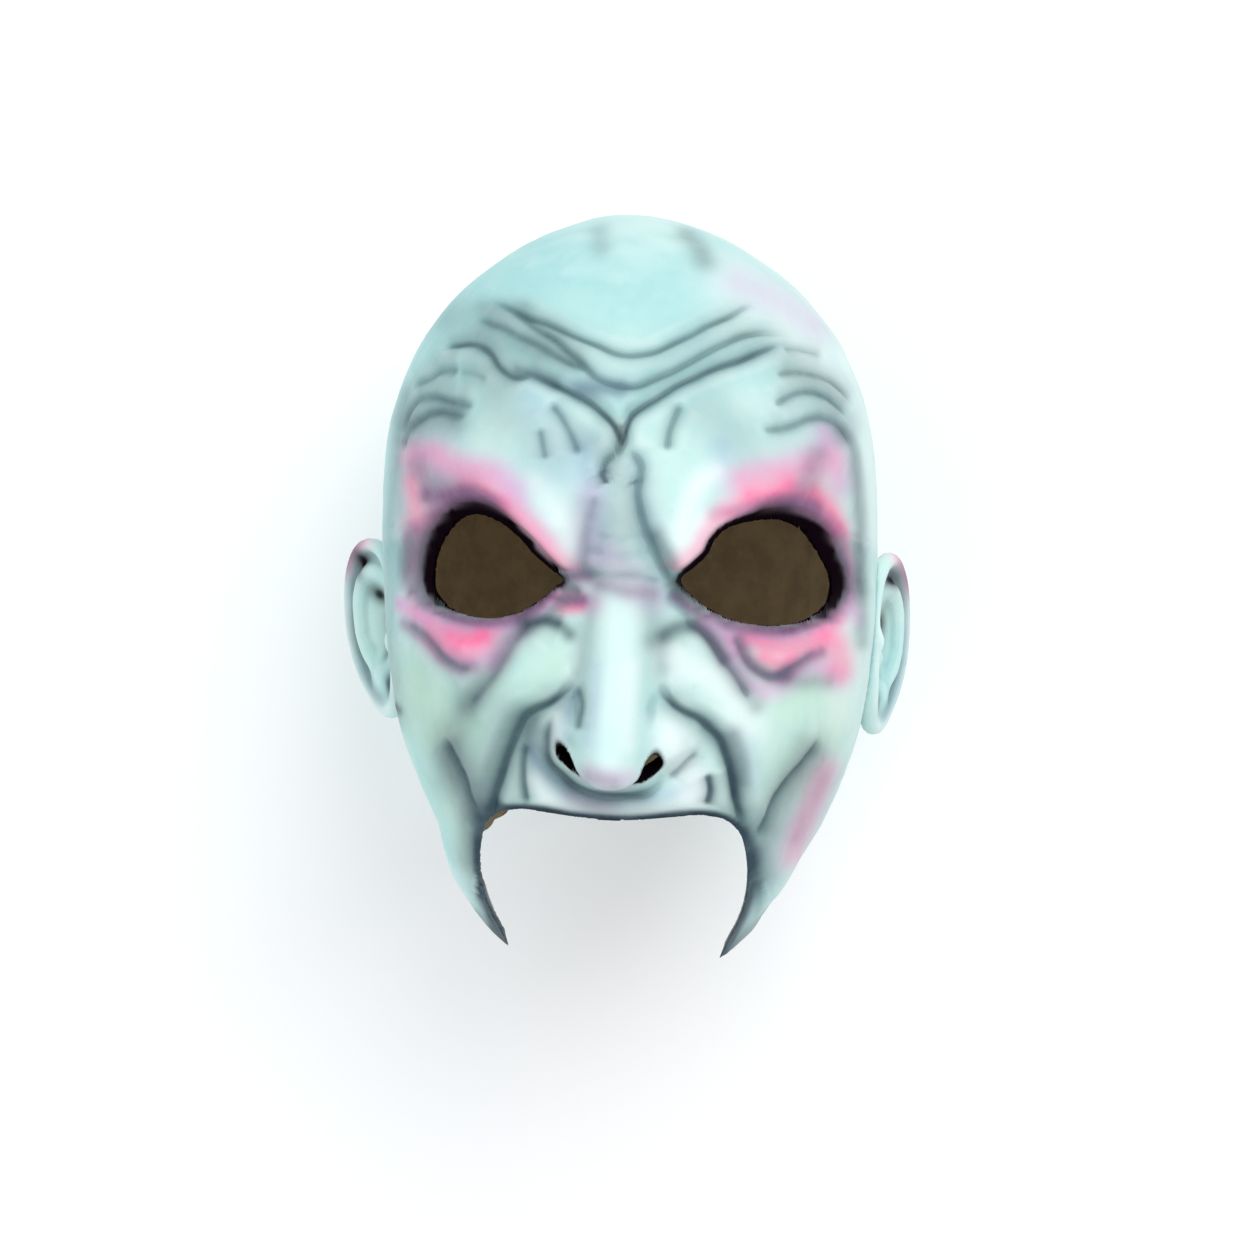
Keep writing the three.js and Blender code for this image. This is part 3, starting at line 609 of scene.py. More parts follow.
def ear_net(side):
    flare = EAR_FLARE["left" if side < 0 else "right"]
    rear = np.array([math.sin(flare), 0, -math.cos(flare)])
    face = np.array([math.cos(flare), 0, math.sin(flare)])

    def placed(share, height):
        back = np.cos(EAR_ANGLES) * EAR_REACH * (1 + 0.2 * np.sin(EAR_ANGLES)) * share
        up = np.sin(EAR_ANGLES) * EAR_HALF * share
        points = EAR_AT + np.outer(back + 0.12 * up, rear) + np.outer(height + 0 * EAR_ANGLES, face)
        points[:, 1] += up
        points[:, 0] -= 0.0045 * np.maximum(0, -up) ** 2
        points[:, 0] *= side
        return settled(points)

    front = [placed(share, ear_relief(share, EAR_ANGLES)) for share in EAR_DISH]
    rim = [placed(share, height) for share, height in EAR_RIM]
    behind = [placed(share, -EAR_THICK - (EAR_DOME - 1) * (1 - share)) for share in EAR_BACK]
    net = np.stack(front + rim + behind)
    return net, placed(0, ear_relief(0, EAR_ANGLES))[0], placed(0, -EAR_THICK - EAR_DOME)[0]


ears = []
ear_skins = []
for side, name in ((-1, "left_ear"), (1, "right_ear")):
    net, top, bottom = ear_net(side)
    points, ear_faces = closed_net(net, top, bottom)
    ears.append(solid(name, points, ear_faces if side > 0 else ear_faces[:, ::-1], "ear"))
    ear_skins.append(points)

# The holes cut in the finished casting: eye holes, nostrils, the notch below the upper lip, and the
# slanting cut at the neck. Each is a plain tool that is taken away from the casting.
NOTCH = [(0, -67.8), (9, -67.4), (18, -66.4), (26, -66.2), (31.5, -67.8), (35, -71.6), (36.6, -77),
         (37.2, -83), (36.8, -90), (35, -97), (31.5, -104.5), (22, -126)]
# Each nostril: where it is, half its width and height, and how it leans, in degrees.
NOSTRILS = [(-14.6, -50.4, 2, 3.8, 34), (7, -52.8, 3.5, 4.6, -6)]
NOSTRIL_Z = 98
NOSTRIL_TILT = math.radians(50)
NECK_CUT_FRONT_Z = 46
NECK_CUT_BACK_Z = -92
EYE_TOOL_Z = (30, 120)
NOTCH_TOOL_Z = (12, 125)


def prism(name, outline, low, high, turn=None):
    """A straight tool along z through an outline that runs the same way round as seen from the front."""
    outline = np.array(outline)
    area = np.sum(outline[:, 0] * np.roll(outline[:, 1], -1) - np.roll(outline[:, 0], -1) * outline[:, 1])
    if area < 0:
        outline = outline[::-1]
    count = len(outline)
    ends = [np.column_stack([outline, np.full(count, z)]) for z in (low, high)]
    points = np.vstack(ends)
    if turn is not None:
        points = np.array([turn @ Vector(p) for p in points])
    walls = [(i, (i + 1) % count, count + (i + 1) % count, count + i) for i in range(count)]
    return solid(name, points, walls + [tuple(range(count))[::-1], tuple(range(count, 2 * count))], "cut")


tools = [prism("eye_hole_tool", outline[:-1], *EYE_TOOL_Z) for outline in eye_holes]
notch = settled(np.array([(-x, y, 120) for x, y in NOTCH[:0:-1]] + [(x, y, 120) for x, y in NOTCH],
                         float))[:, :2]
notch_edge = drawn(notch, 200)
tools.append(prism("notch_tool", notch_edge, *NOTCH_TOOL_Z))
circle = [(math.cos(a), math.sin(a)) for a in np.linspace(0, 2 * math.pi, 40, endpoint=False)]
nostril_turns = []
for x, y, wide, high, lean in NOSTRILS:
    turn = (Matrix.Translation((x, y, NOSTRIL_Z)) @ Matrix.Rotation(NOSTRIL_TILT, 4, "X")
            @ Matrix.Rotation(math.radians(lean), 4, "Z"))
    nostril_turns.append(turn)
    tools.append(prism("nostril_tool", [(wide * cx, high * cy) for cx, cy in circle], -20, 20, turn))
cut_slope = math.atan2(NAPE_EDGE - JAW_TIP, NECK_CUT_BACK_Z - NECK_CUT_FRONT_Z)
neck_turn = (Matrix.Translation((0, JAW_TIP, NECK_CUT_FRONT_Z)) @ Matrix.Rotation(-2 * SIDE_DROP, 4, "Z")
             @ Matrix.Rotation(math.pi - cut_slope, 4, "X"))
tools.append(prism("neck_tool", [(-120, -100), (120, -100), (120, 0), (-120, 0)], -200, 200, neck_turn))

for operation, others in (("UNION", ears), ("DIFFERENCE", [hollow] + tools)):
    for other in others:
        step = mask.modifiers.new(other.name, "BOOLEAN")
        step.operation = operation
        step.solver = "MANIFOLD"
        step.object = other
bpy.context.view_layer.update()
cut_mesh = bpy.data.meshes.new_from_object(mask.evaluated_get(bpy.context.evaluated_depsgraph_get()))
mask.modifiers.clear()
mask.data = cut_mesh
for other in ears + [hollow] + tools:
    bpy.data.objects.remove(other)

# The rims of all the cuts are rounded a little by hand after casting, and the ears run softly into
# the head: points near a sharp crease are eased towards their neighbours.
CREASE = math.radians(38)
EASING_ROUNDS = 3
KEPT_SHARP = math.radians(60)


def read(items, key, kind, across=1):
    """What is kept for each point, edge, face or corner of a mesh, in one row or in rows of several."""
    flat = np.empty(len(items) * across, kind)
    items.foreach_get(key, flat)
    return flat if across == 1 else flat.reshape(-1, across)


def neighbours_mean(values, edges):
    total = np.zeros_like(values)
    count = np.zeros(len(values))
    for a, b in (edges.T, edges.T[::-1]):
        np.add.at(total, a, values[b])
        np.add.at(count, a, 1)
    count = np.maximum(count, 1)
    return total / (count if values.ndim == 1 else count[:, None])


cut_points = read(cut_mesh.vertices, "co", np.float32, 3).astype(float)
cut_edges = read(cut_mesh.edges, "vertices", np.int32, 2)
cut_mesh.set_sharp_from_angle(angle=CREASE)
creased = read(cut_mesh.attributes["sharp_edge"].data, "value", bool)
eased = np.zeros(len(cut_points))
eased[cut_edges[creased].ravel()] = 1
eased = np.maximum(eased, 0.5 * (neighbours_mean(eased, cut_edges) > 0))
for _ in range(EASING_ROUNDS):
    cut_points += (0.5 * eased)[:, None] * (neighbours_mean(cut_points, cut_edges) - cut_points)
cut_mesh.vertices.foreach_set("co", cut_points.astype(np.float32).ravel())
cut_mesh.update()
cut_mesh.shade_smooth()
cut_mesh.set_sharp_from_angle(angle=KEPT_SHARP)

# The paint, put on with an airbrush and a sponge over the pale latex: each stroke is its line on the face,
# its breadth and its strength. Slate shades the furrows; the rest colour the eyes, bags and cheeks. Some
# strokes are painted light, marked where they stand: painted shade, painted shadow and painted highlight.
SOFT_SLATE_STROKES = [
    # the outline of the face
    ([(-63.9, 50.2), (-65.6, 37.2), (-67.5, 20), (-69.1, 3.4), (-69.6, -14.4), (-67.7, -28.7), (-66, -42)],
     4.6, 0.24),
    ([(-67, -39), (-64.5, -39.8)], 1.6, 0.6),
    ([(60.3, 38.5), (63.6, 34.3), (64.9, 27.6), (65.7, 19.8), (66.4, 11.9), (66.4, 4.4), (67.3, -6.2)],
     2.8, 0.42),
    ([(66.1, -3.5), (67.1, -11.4), (67.2, -20.5)], 2.8, 0.3),
    # along the notch and the upper lip
    ([(-35, -64.5), (-38.6, -68), (-40.1, -73), (-40, -84), (-39.4, -92), (-38, -100), (-36, -107)], 2, 0.85),
    ([(32.7, -72), (35.2, -79), (34.8, -88), (32, -97), (28, -105)], 2.4, 0.85),
    ([(-35.2, -64.6), (-30.4, -65), (-23.3, -65.2), (-16, -66.8), (-9, -67.4), (3, -67.6), (12, -67.4),
      (21.4, -67.6), (31, -70)], 1.1, 0.7),
    # smudges over the forehead
    ([(-40.3, 74.2), (-34.2, 72.7), (-28.3, 72.3)], 3, 0.2),
    ([(-11.6, 49.1), (-6.6, 49), (-1.2, 49)], 2.4, 0.28),
    ([(-29, 54.5), (-24, 53.4), (-19, 51)], 2, 0.34),
    ([(-8, 96.5), (-7, 91)], 3.4, 0.2),
    ([(17, 96), (20.8, 90.7), (22, 87)], 3.6, 0.32),
    ([(-60, 76), (-47, 71), (-35, 64), (-24, 59)], 7, 0.2),
    ([(-52, 58), (-44, 56), (-36, 52)], 6, 0.16),
    ([(-58, 40), (-52, 42), (-46, 40)], 4, 0.24),
    ([(44, 58), (52, 52), (60, 44)], 6, 0.16),
    ([(22, 44), (32, 36)], 8, 0.16),
    ([(-34, 46), (-26, 38), (-20, 30)], 8, 0.12),
    # the bridge and sides of the nose
    ([(-8.4, 18), (-9.8, 13.5), (-10.3, 7.8), (-10.1, 1)], 3.6, 0.1),
    ([(9, 9), (11.9, 4.4), (13.2, 1.4), (13.1, -3)], 2.6, 0.34),
    ([(-8, 34), (0, 24), (4, 12)], 6, 0.2),
    ([(-4, 10), (0, 2)], 8, 0.18),
    # painted shade down the sides of the nose
    ([(-8.4, -8), (-9.8, -20), (-11.4, -32)], 2, 0.15),
    ([(7.4, -10), (9, -18), (10.6, -26)], 3.4, 0.15),
    ([(8, -19), (14, -17)], 3, 0.26),
    ([(-14, -33), (-14.6, -40), (-14, -46)], 3, 0.16),
    ([(-24.2, -41), (-25.6, -47)], 2.4, 0.34),
    # a faint painted shadow under the nose
    ([(-24.6, -47), (-22.8, -53), (-18.8, -58), (-13, -62), (-3, -63.4), (8, -62.6), (18, -59.4)], 2.6, 0.06),
    ([(-21, -44), (-20, -52), (-14, -58)], 3, 0.24),
    ([(30, -45), (31.9, -50.8), (32.4, -58)], 2.6, 0.3),
    ([(23.4, -42.7), (28, -49.4), (29.6, -53.9), (31, -62)], 2, 0.4),
    ([(-30, -40), (-36, -54), (-38, -66)], 5, 0.3),
    # round the pouches under the eye holes
    ([(-14.6, -17.4), (-17, -15.2), (-21, -13.8), (-27.6, -14.8)], 2, 0.5),
    ([(-27, -16), (-31.1, -20.4), (-33.6, -24.6), (-36.1, -28.5), (-38.9, -32.2), (-42.6, -37)], 3.4, 0.34),
    ([(10.9, -17.8), (13.8, -15.9), (17.3, -15.2)], 2.2, 0.42),
    ([(18, -14.8), (22.6, -17.6), (26.8, -23.5), (32, -31), (36, -37)], 2.6, 0.26),
    ([(44.5, -30.3), (50.5, -30.9), (56.6, -31.3)], 2.6, 0.24),
    # the cheeks
    ([(-58, -34), (-50, -44), (-38, -40)], 9, 0.07),
    ([(-34, 42), (-44, 38)], 8, 0.06),
    ([(-42.5, -36), (-47.2, -47), (-48.6, -59)], 6, 0.25),
    ([(-47.4, -50), (-44, -58), (-42, -68), (-43, -80)], 5, 0.34),
    ([(52, -50), (45.3, -58.8), (40, -68), (38, -76), (38, -86)], 5, 0.34),
]
PINK_OF_THE_JAW = [(56, -58), (53, -66), (49.5, -73), (47, -80)]
PAINTS = {
    "teal": [
        # painted shade over the mask's own teal: the crown and the left side made darker, as if lit from the
        # right
        ([(-30, 95), (-50, 80), (-60, 60)], 24, 0.9),
        ([(-66, 40), (-68, 10), (-72, -20), (-66, -50), (-52, -80)], 12, 0.8),
        ([(-10, 80), (20, 84)], 20, 0.5),
        ([(-28, 60), (-6, 50), (16, 56)], 8, 0.4),
        ([(-48, -32), (-38, -44), (-30, -30)], 8, 0.4),
    ],
    "blue": [
        ([(-6.9, -26), (-6.8, -36), (-8.2, -45)], 2.2, 0.6),
        ([(-13, -33.6), (-15.6, -40), (-16.4, -45)], 2.4, 0.6),
        ([(-24.3, -48.4), (-22.5, -53.1), (-18.6, -57.6), (-14.1, -61.2), (-9, -62.8), (-3.2, -63.4),
          (8, -62.8), (20, -58)], 2.6, 0.75),
        ([(-10, 32), (-8, 18), (-9, 6)], 5, 0.6),
        ([(4, 28), (6, 16), (8, 8)], 4, 0.4),
        ([(-26, 46), (-20, 36), (-19, 26)], 7, 0.35),
        ([(-11.6, 49.1), (-6.6, 49), (-1.2, 49)], 3, 0.6),
        ([(26.7, 33.6), (26.5, 27.6)], 3.4, 0.5),
        ([(32, -46), (34, -56)], 4, 0.4),
    ],
    "green": [
        ([(-58, -33), (-52, -42), (-46, -44)], 13, 0.9),
        ([(48, -36), (56, -44), (50, -56)], 13, 0.8),
        ([(-40, -80), (-50, -66)], 8, 0.5),
        ([(-36, -28), (-28, -34), (-20, -26)], 7, 0.5),
    ],
    "white": [
        # pale paint, and painted highlights on the brows
        ([(-23.1, 22.8), (-19.2, 18.1), (-15.7, 12.5), (-13.2, 6)], 4, 0.6),
        ([(14.7, 8), (17.7, 17), (20.6, 23.4), (25.2, 26.5)], 3.4, 0.75),
        ([(16, 3), (18.6, 8), (22, 14)], 2.6, 0.6),
        # painted highlight down the ridge of the nose
        ([(0.4, 0), (-0.6, -14), (-2, -30), (-3.4, -46), (-3.4, -56)], 3, 0.15),
        ([(2.4, -26), (2.3, -36), (2, -46)], 2.6, 0.5),
        ([(13, -46), (17, -54), (20, -62)], 5, 0.9),
        ([(-12, -22), (-14, -30)], 3, 0.35),
        ([(11, -22), (13, -30)], 3.4, 0.3),
        # painted highlight on the right temple
        ([(66, 60), (68, 40), (69, 10)], 8, 0.5),
        ([(13.9, -23.9), (19.6, -27.1), (25.2, -29.4), (34, -42)], 5, 0.7),
        ([(-32.2, -16.5), (-34.7, -20.3), (-37.4, -25.1)], 2.2, 0.4),
        ([(28.5, -21.1), (31.4, -26.3), (35.2, -30.3), (39.8, -33.4)], 2.4, 0.35),
        ([(-30, 42), (-40, 36), (-48, 34)], 5, 0.12),
        ([(34, 46), (44, 45)], 5, 0.3),
        # painted highlight on the right of the forehead and crown
        ([(30, 80), (44, 72), (58, 60)], 10, 0.5),
        ([(-24, -57), (-20, -62.6), (-12, -65), (0, -65.4), (14, -64.6), (20, -60)], 3, 0.85),
        # painted highlight on the right cheek
        ([(60, -20), (62, -40)], 8, 0.35),
        ([(-17.6, -40), (-17.8, -48)], 2.4, 0.7),
        ([(11, -40), (15, -46)], 4, 0.6),
    ],
    "lilac": [
        # round the left eye hole
        ([(-60.9, 32.5), (-53.5, 32.5), (-48.2, 28.7), (-40.7, 27), (-34.3, 25.7), (-29.6, 21.1)], 4.2, 0.66),
        ([(-30, 21), (-25, 14), (-20, 8)], 3, 0.4),
        ([(-64.2, -9.5), (-58.8, -11.8), (-50.9, -15), (-40.8, -16.4), (-31.1, -14.6), (-22, -9.6)],
         2.6, 0.95),
        ([(-58, -15), (-52, -20), (-44, -25), (-36, -22)], 4, 0.6),
        ([(-28, -16), (-32, -20.4), (-36, -26)], 2.4, 0.5),
        ([(-20, -6), (-14, -7), (-8, -9)], 3.2, 0.6),
        # round the right eye hole
        ([(31, 24), (36.6, 26.4), (44.4, 28), (50.7, 30)], 4.4, 0.5),
        ([(55.8, 37.5), (58.4, 31.1), (60, 24.1)], 4, 0.6),
        ([(57.6, -13.6), (61, -10.6)], 2.6, 0.85),
        ([(63, -8.1), (65.4, -13.8)], 2.8, 0.6),
        ([(22.5, -14.6), (26.8, -17.2), (30, -22)], 2.2, 0.8),
        ([(29, -18.6), (36, -18.4), (46, -18.4), (55, -16.4)], 2.4, 0.7),
        ([(29, -24), (33, -29.6), (38, -33.6)], 2.6, 0.5),
        ([(42, -31.6), (49.2, -27.3), (54.5, -27), (60, -30)], 3.4, 0.6),
        # nose, mouth, temple and jaw
        ([(-8.6, 20), (-9.6, 9), (-10, 0)], 4.4, 0.3),
        ([(-4, 4), (2, -2), (8, -8)], 5, 0.34),
        ([(-14.1, -61.2), (-9, -62.8), (-3.2, -63.4)], 2.4, 0.2),
        ([(-8.3, -54), (-3.2, -55.4), (1.6, -55)], 3, 0.36),
        ([(32, 81), (42, 76.5), (53, 70)], 6, 0.3),
        (PINK_OF_THE_JAW, 5.4, 0.4),
    ],
    "pink": [
        # round the left eye hole
        ([(-60, 24), (-59, 18), (-59.4, 13)], 4.6, 0.55),
        ([(-42.3, 22.6), (-37.4, 20.4), (-33.6, 17)], 3.4, 0.42),
        ([(-34.2, 17.6), (-30, 15.4), (-26, 12), (-22.6, 8.2), (-19, 4)], 3.4, 0.26),
        ([(-61, 32), (-52, 31), (-45, 27), (-38, 25)], 5, 0.26),
        ([(-60, -11), (-52, -15.6), (-43, -17.6), (-35, -16.8)], 2.4, 0.26),
        ([(-47, -19), (-42.7, -19.4), (-38.6, -18.1)], 2.4, 0.85),
        ([(-53, -18.3), (-47.6, -21.6), (-42.6, -22.6), (-37.4, -19.7)], 3, 0.46),
        ([(-16.8, -10.2), (-11.6, -9.8)], 2, 0.6),
        ([(-20.4, -7), (-12, -8.2)], 1.6, 0.4),
        # round the right eye hole
        ([(34.6, 19.6), (40.6, 20.6), (45, 23)], 3, 0.72),
        ([(28, 17), (32, 17.6), (36, 18.6)], 3.2, 0.26),
        ([(24.4, 14.6), (30.5, 15.9)], 2.4, 0.2),
        ([(42, 18.4), (46.5, 19.6), (51.4, 19.3)], 3, 0.7),
        ([(52, 20.4), (56.1, 17), (58.4, 11)], 3.8, 0.7),
        ([(59, 11), (60.4, 4)], 3, 0.5),
        ([(34, 23.6), (44.4, 26), (50.7, 28), (57, 30)], 4.6, 0.34),
        ([(55, -16.6), (60, -12.6)], 2.2, 0.4),
        ([(33.4, -18.6), (39.2, -20.6), (44.5, -21.4), (50.1, -21.2), (54.7, -20)], 3.4, 0.58),
        ([(37.6, -23.9), (42.2, -25.6), (46, -24.4)], 2.2, 0.6),
        ([(54, -18.8), (58.6, -20.4), (60.2, -24.4), (60.4, -27.4)], 4.6, 0.52),
        (PINK_OF_THE_JAW, 4.6, 0.24),
    ],
    "mauve": [
        # round the left eye hole
        ([(-58, 29), (-54.3, 25.2), (-49.2, 22.7), (-43, 21.4)], 4, 0.4),
        ([(-55, 20.7), (-49.4, 19.9), (-42.8, 19.4), (-37.4, 17.6)], 2.6, 0.6),
        ([(-60.6, 11.4), (-61.9, 4.6), (-62.4, -2)], 3, 0.5),
        ([(-14.8, -1.5), (-9.4, -1.6)], 2, 0.6),
        ([(-20.9, -6.3), (-17.5, -8), (-11, -8.2)], 1.7, 0.7),
        ([(-60.6, -6.4), (-54.5, -10), (-47.1, -13.2), (-39, -14.7), (-30.3, -13.8), (-22, -9)], 1.6, 0.7),
        (LEFT_BAG, 2.2, 0.42),
        ([(-26, -15), (-34, -25), (-40, -34)], 2.4, 0.16),
        # round the right eye hole
        ([(53.4, 31.4), (51.4, 27), (49.6, 22.4)], 3.6, 0.34),
        ([(25, 15), (31, 15.6)], 2.2, 0.14),
        ([(42.6, 17.6), (46.5, 18.6), (52.4, 17.4)], 2.4, 0.6),
        ([(60.2, 3), (61.8, -5.6)], 2.2, 0.75),
        ([(14, -7), (18.6, -10.8), (25.2, -13.4), (29.1, -15.4), (33.8, -16.2), (39.2, -16.8), (44.6, -16.8),
          (48.7, -15.9), (53, -14.2), (58, -11.6)], 1.7, 0.75),
        ([(19.9, -15.1), (22.6, -17.4), (24.9, -20.5), (27.4, -24.4)], 1.7, 0.6),
        ([(31.2, -19), (33, -23.5), (35.1, -26.2), (37.5, -27.9), (40.6, -29.1), (44.6, -28.4)], 1.9, 0.6),
        ([(43.8, -28.6), (47, -26.7), (50.1, -24.5), (54, -22.9)], 2, 0.5),
        # nose and jaw
        ([(-6, -4), (2, -6), (8, -6)], 2.4, 0.3),
        ([(-8.3, -54.6), (-2, -56)], 2.6, 0.24),
        ([(55, -60), (52, -67), (48.6, -75)], 4.4, 0.2),
    ],
    "plum": [
        ([(-19.8, -0.9), (-16.8, -4.3), (-12.3, -5.6)], 1.5, 0.34),
        ([(13.4, -3.6), (17.4, -8), (20, -10)], 1.6, 0.3),
        ([(-0.7, 38.6), (-0.6, 34)], 1.2, 0.42),
        ([(-61, 6), (-61.6, -1)], 3, 0.14),
        ([(37.7, 16.4), (43.8, 17.1), (49, 14.2), (53.9, 11.9)], 1.8, 0.3),
        ([(60.6, 1), (61.8, -5)], 1.8, 0.2),
    ],
}
# The dark band round each eye hole, by the angle round the eye, 0 at its outer corner and 90 above: how
# wide it is, how wide its soft edge is, and its strength. The band is paint, and where it is widest, above
# the outer corner under the brow, it is also painted shadow.
LINER = {
    "left": [
        [(-180, 0.8), (-120, 0.3), (-60, 0.4), (-30, 0.8), (0, 1.8), (30, 2.8), (60, 2.7), (90, 2),
         (120, 1.8), (180, 1.6)],
        [(-180, 1.2), (-120, 1.8), (-60, 2.4), (-30, 3.8), (0, 4.6), (50, 4.2), (90, 3.2), (120, 1.8),
         (180, 1.5)],
        [(-180, 0.9), (-150, 0.45), (-60, 0.36), (-30, 0.8), (0, 1), (180, 1)],
    ],
    "right": [
        [(-180, 1), (-120, 0.3), (-60, 0.6), (-30, 2), (0, 3.4), (30, 4.2), (60, 2.6), (85, 1.8), (120, 1),
         (180, 1)],
        [(-180, 1.2), (-120, 1.8), (-60, 2), (-30, 3.4), (0, 3.4), (50, 3.6), (80, 2.6), (110, 1.4),
         (180, 1.2)],
        [(-180, 0.9), (-150, 0.45), (-60, 0.4), (-30, 0.8), (0, 1), (180, 1)],
    ],
}
HALO = 0.6
BLUSH = 0.42
# The airbrush works from in front, so that a stroke reaches down a steep slope more than across a level one.
SPRAY = np.array([1, 1, 0.12])


def over(below, above):
    """Paint put on top of paint, each as a share of the surface that it covers."""
    return 1 - (1 - below) * (1 - above)


def put_on(so_far, strokes):
    for points, breadth, strength in strokes:
        line = laid_on(soft_surface, face_tree, points, 8 * len(points))
        far, _ = from_line(line * SPRAY, soft_surface * SPRAY, 3.4 * breadth)
        so_far = over(so_far, strength * bell(far, breadth))
    return so_far


on_face = smooth(-10, 14, soft_surface[:, 2])
slate = np.zeros(len(soft_surface))
wavering = wandering(soft_surface) * SPRAY
pressure = 0.86 + 0.14 * np.sin(soft_surface[:, 0] / 4.1 + 2 * np.sin(soft_surface[:, 1] / 5.3))
for points, _, _, shade, breadth in SLATE_STROKES:
    far, along = from_line(laid_on(soft_surface, face_tree, points, 10 * len(points)) * SPRAY,
                           wavering, 6 * breadth)
    line = 0.58 * bell(far, 0.56 * breadth) * pressure + 0.38 * bell(far, 2.2 * breadth)
    slate = over(slate, shade * smooth(0, 0.16, along) * smooth(1, 0.84, along) * line)
coats = {"slate": on_face * put_on(slate, SOFT_SLATE_STROKES)}
for name, strokes in PAINTS.items():
    coats[name] = on_face * put_on(np.zeros(len(soft_surface)), strokes)
flat_x, flat_y = soft_surface[:, 0], soft_surface[:, 1]
notch_far = nearest(notch_edge, flat_x, flat_y)[0]
# A dark line along the edge of the upper lip: paint, and painted shadow under the lip.
lip_line = 0.5 * smooth(1.5, 0.1, notch_far) * smooth(34, 26, np.abs(flat_x)) * smooth(-76, -72, flat_y)
rim_line = (0.9 * smooth(2.6, 0.2, notch_far) + 0.3 * bell(notch_far, 5)) * smooth(-60, -66, flat_y)
coats["plum"] = over(coats["plum"], lip_line * on_face)
coats["slate"] = over(coats["slate"], np.clip(rim_line, 0, 0.95) * on_face)
out_of_hole = from_eye_hole(flat_x, flat_y)
for side in ("left", "right"):
    half = ((flat_x < 0) == (side == "left")) & (on_face > 0.5) & (out_of_hole < 16)
    angle = np.degrees(np.arctan2(flat_y[half] - EYE_MIDDLE[1], np.abs(flat_x[half]) - EYE_MIDDLE[0]))
    width, fade, strength = (through(along_rim, angle) for along_rim in LINER[side])
    far = out_of_hole[half]
    band = 0.9 * smooth(width + fade + 0.6, width - 0.4, far) + 0.3 * smooth(width + 0.8, width, far)
    halo = smooth(-40, 0, angle) * smooth(130, 90, angle) * smooth(width + fade + 4, width + 0.6 * fade, far)
    blush = bell(far - width - 0.6 * fade - 1, 3) * smooth(-30, 10, angle)
    for name, amount in (("plum", np.minimum(strength, 1) * np.clip(band, 0, 1)), ("mauve", HALO * halo),
                         ("pink", BLUSH * blush)):
        coats[name][half] = over(coats[name][half], amount)


def in_nostrils(points, reach):
    """For each place, how many radii it is from the nearer nostril's middle line, up to a reach along it."""
    least = np.full(len(points), 99.0)
    for turn, (_, _, wide, high, _) in zip(nostril_turns, NOSTRILS):
        local = (points - np.array(turn.translation)) @ np.array(turn.to_3x3())
        radii = np.hypot(local[:, 0] / wide, local[:, 1] / high)
        least = np.where((np.abs(local[:, 2]) < reach) & (radii < least), radii, least)
    return least


coats["plum"] = np.maximum(coats["plum"], 0.9 * smooth(1.4, 1.02, in_nostrils(soft_surface, reach=14)))
above_cut = ((soft_surface - np.array(neck_turn.translation)) @ np.array(neck_turn.to_3x3()))[:, 1]
coats["slate"] = over(coats["slate"], 0.42 * smooth(9, 0, above_cut + np.sin(flat_x / 7)))


def ear_coats(side):
    """The paint on one ear: painted shade, dark in its folds, bowl and by the head, pink and mauve at its
    tip, and painted highlight, white along its rim.
    """
    shares = np.concatenate([EAR_DISH, [share for share, _ in EAR_RIM], EAR_BACK])
    share, angle = np.meshgrid(shares, EAR_ANGLES, indexing="ij")
    face = (np.arange(len(shares)) < len(EAR_DISH) + len(EAR_RIM))[:, None]
    rearward = smooth(-0.5, 0.3, np.cos(angle))
    u, v = share * np.cos(angle), share * np.sin(angle)
    # painted shade in the hollows of the ear: the groove under the rim, the bowl, along the ridge, the notch
    # of the lobe
    groove = bell(share - 0.77, 0.075) * rearward
    under_rim = (0.35 * groove * smooth(0.2, 0.5, v)
                 + 0.22 * groove * smooth(0.3, 0, v) * smooth(-0.9, -0.5, v))
    bowl = 0.3 * bell(u + 0.1, 0.26) * bell(v - 0.02, 0.3)
    ridge_line = 0.36 * bell(u + 0.02, 0.09) * smooth(-0.42, -0.3, v) * smooth(0.2, 0.08, v)
    notch_of_lobe = 0.8 * bell(u + 0.38, 0.16) * bell(v + 0.62, 0.13)
    shade = 1 - (1 - under_rim) * (1 - ridge_line) * (1 - bowl) * (1 - notch_of_lobe)
    # painted shade in the gap at the top of the ear and in the fold by the head
    if side < 0:
        gap = 0.95 * bell(u - 0.28, 0.15) * bell(v - 0.69, 0.15)
        fold = 0.8 * bell(u - 0.02, 0.2) * bell(v - 0.36, 0.1)
    else:
        gap = 0.8 * bell(u - 0.05, 0.3) * bell(v - 0.7, 0.09)
        fold = 0.9 * bell(u - 0.06, 0.16) * bell(v - 0.16, 0.2)
    top = bell(share - 0.95, 0.08) * smooth(0.45, 0.8, np.sin(angle))
    return {
        "slate": face * np.clip(shade, 0, 1),
        "plum": face * over(gap, fold),
        "pink": 0.6 * top * smooth(-0.5, 0.4, np.cos(angle)),
        "mauve": (0.5 * top * smooth(-0.2, 0.5, np.cos(angle))
                  + 0.2 * face * bell(share - 0.8, 0.1) * rearward),
        "teal": 0.5 * face * smooth(0, -0.6, v),
        "white": face * bell(share - 0.93, 0.07) * (0.6 * smooth(0.7, 0.3, np.sin(angle))
                                                   + 0.7 * bell(np.sin(angle) - 1, 0.05)),
    }


def skin_of(points, faces):
    return BVHTree.FromPolygons([tuple(p) for p in points], [tuple(f) for f in faces])


def gaps(skin, places):
    return np.array([skin.find_nearest(tuple(place))[3] for place in places])


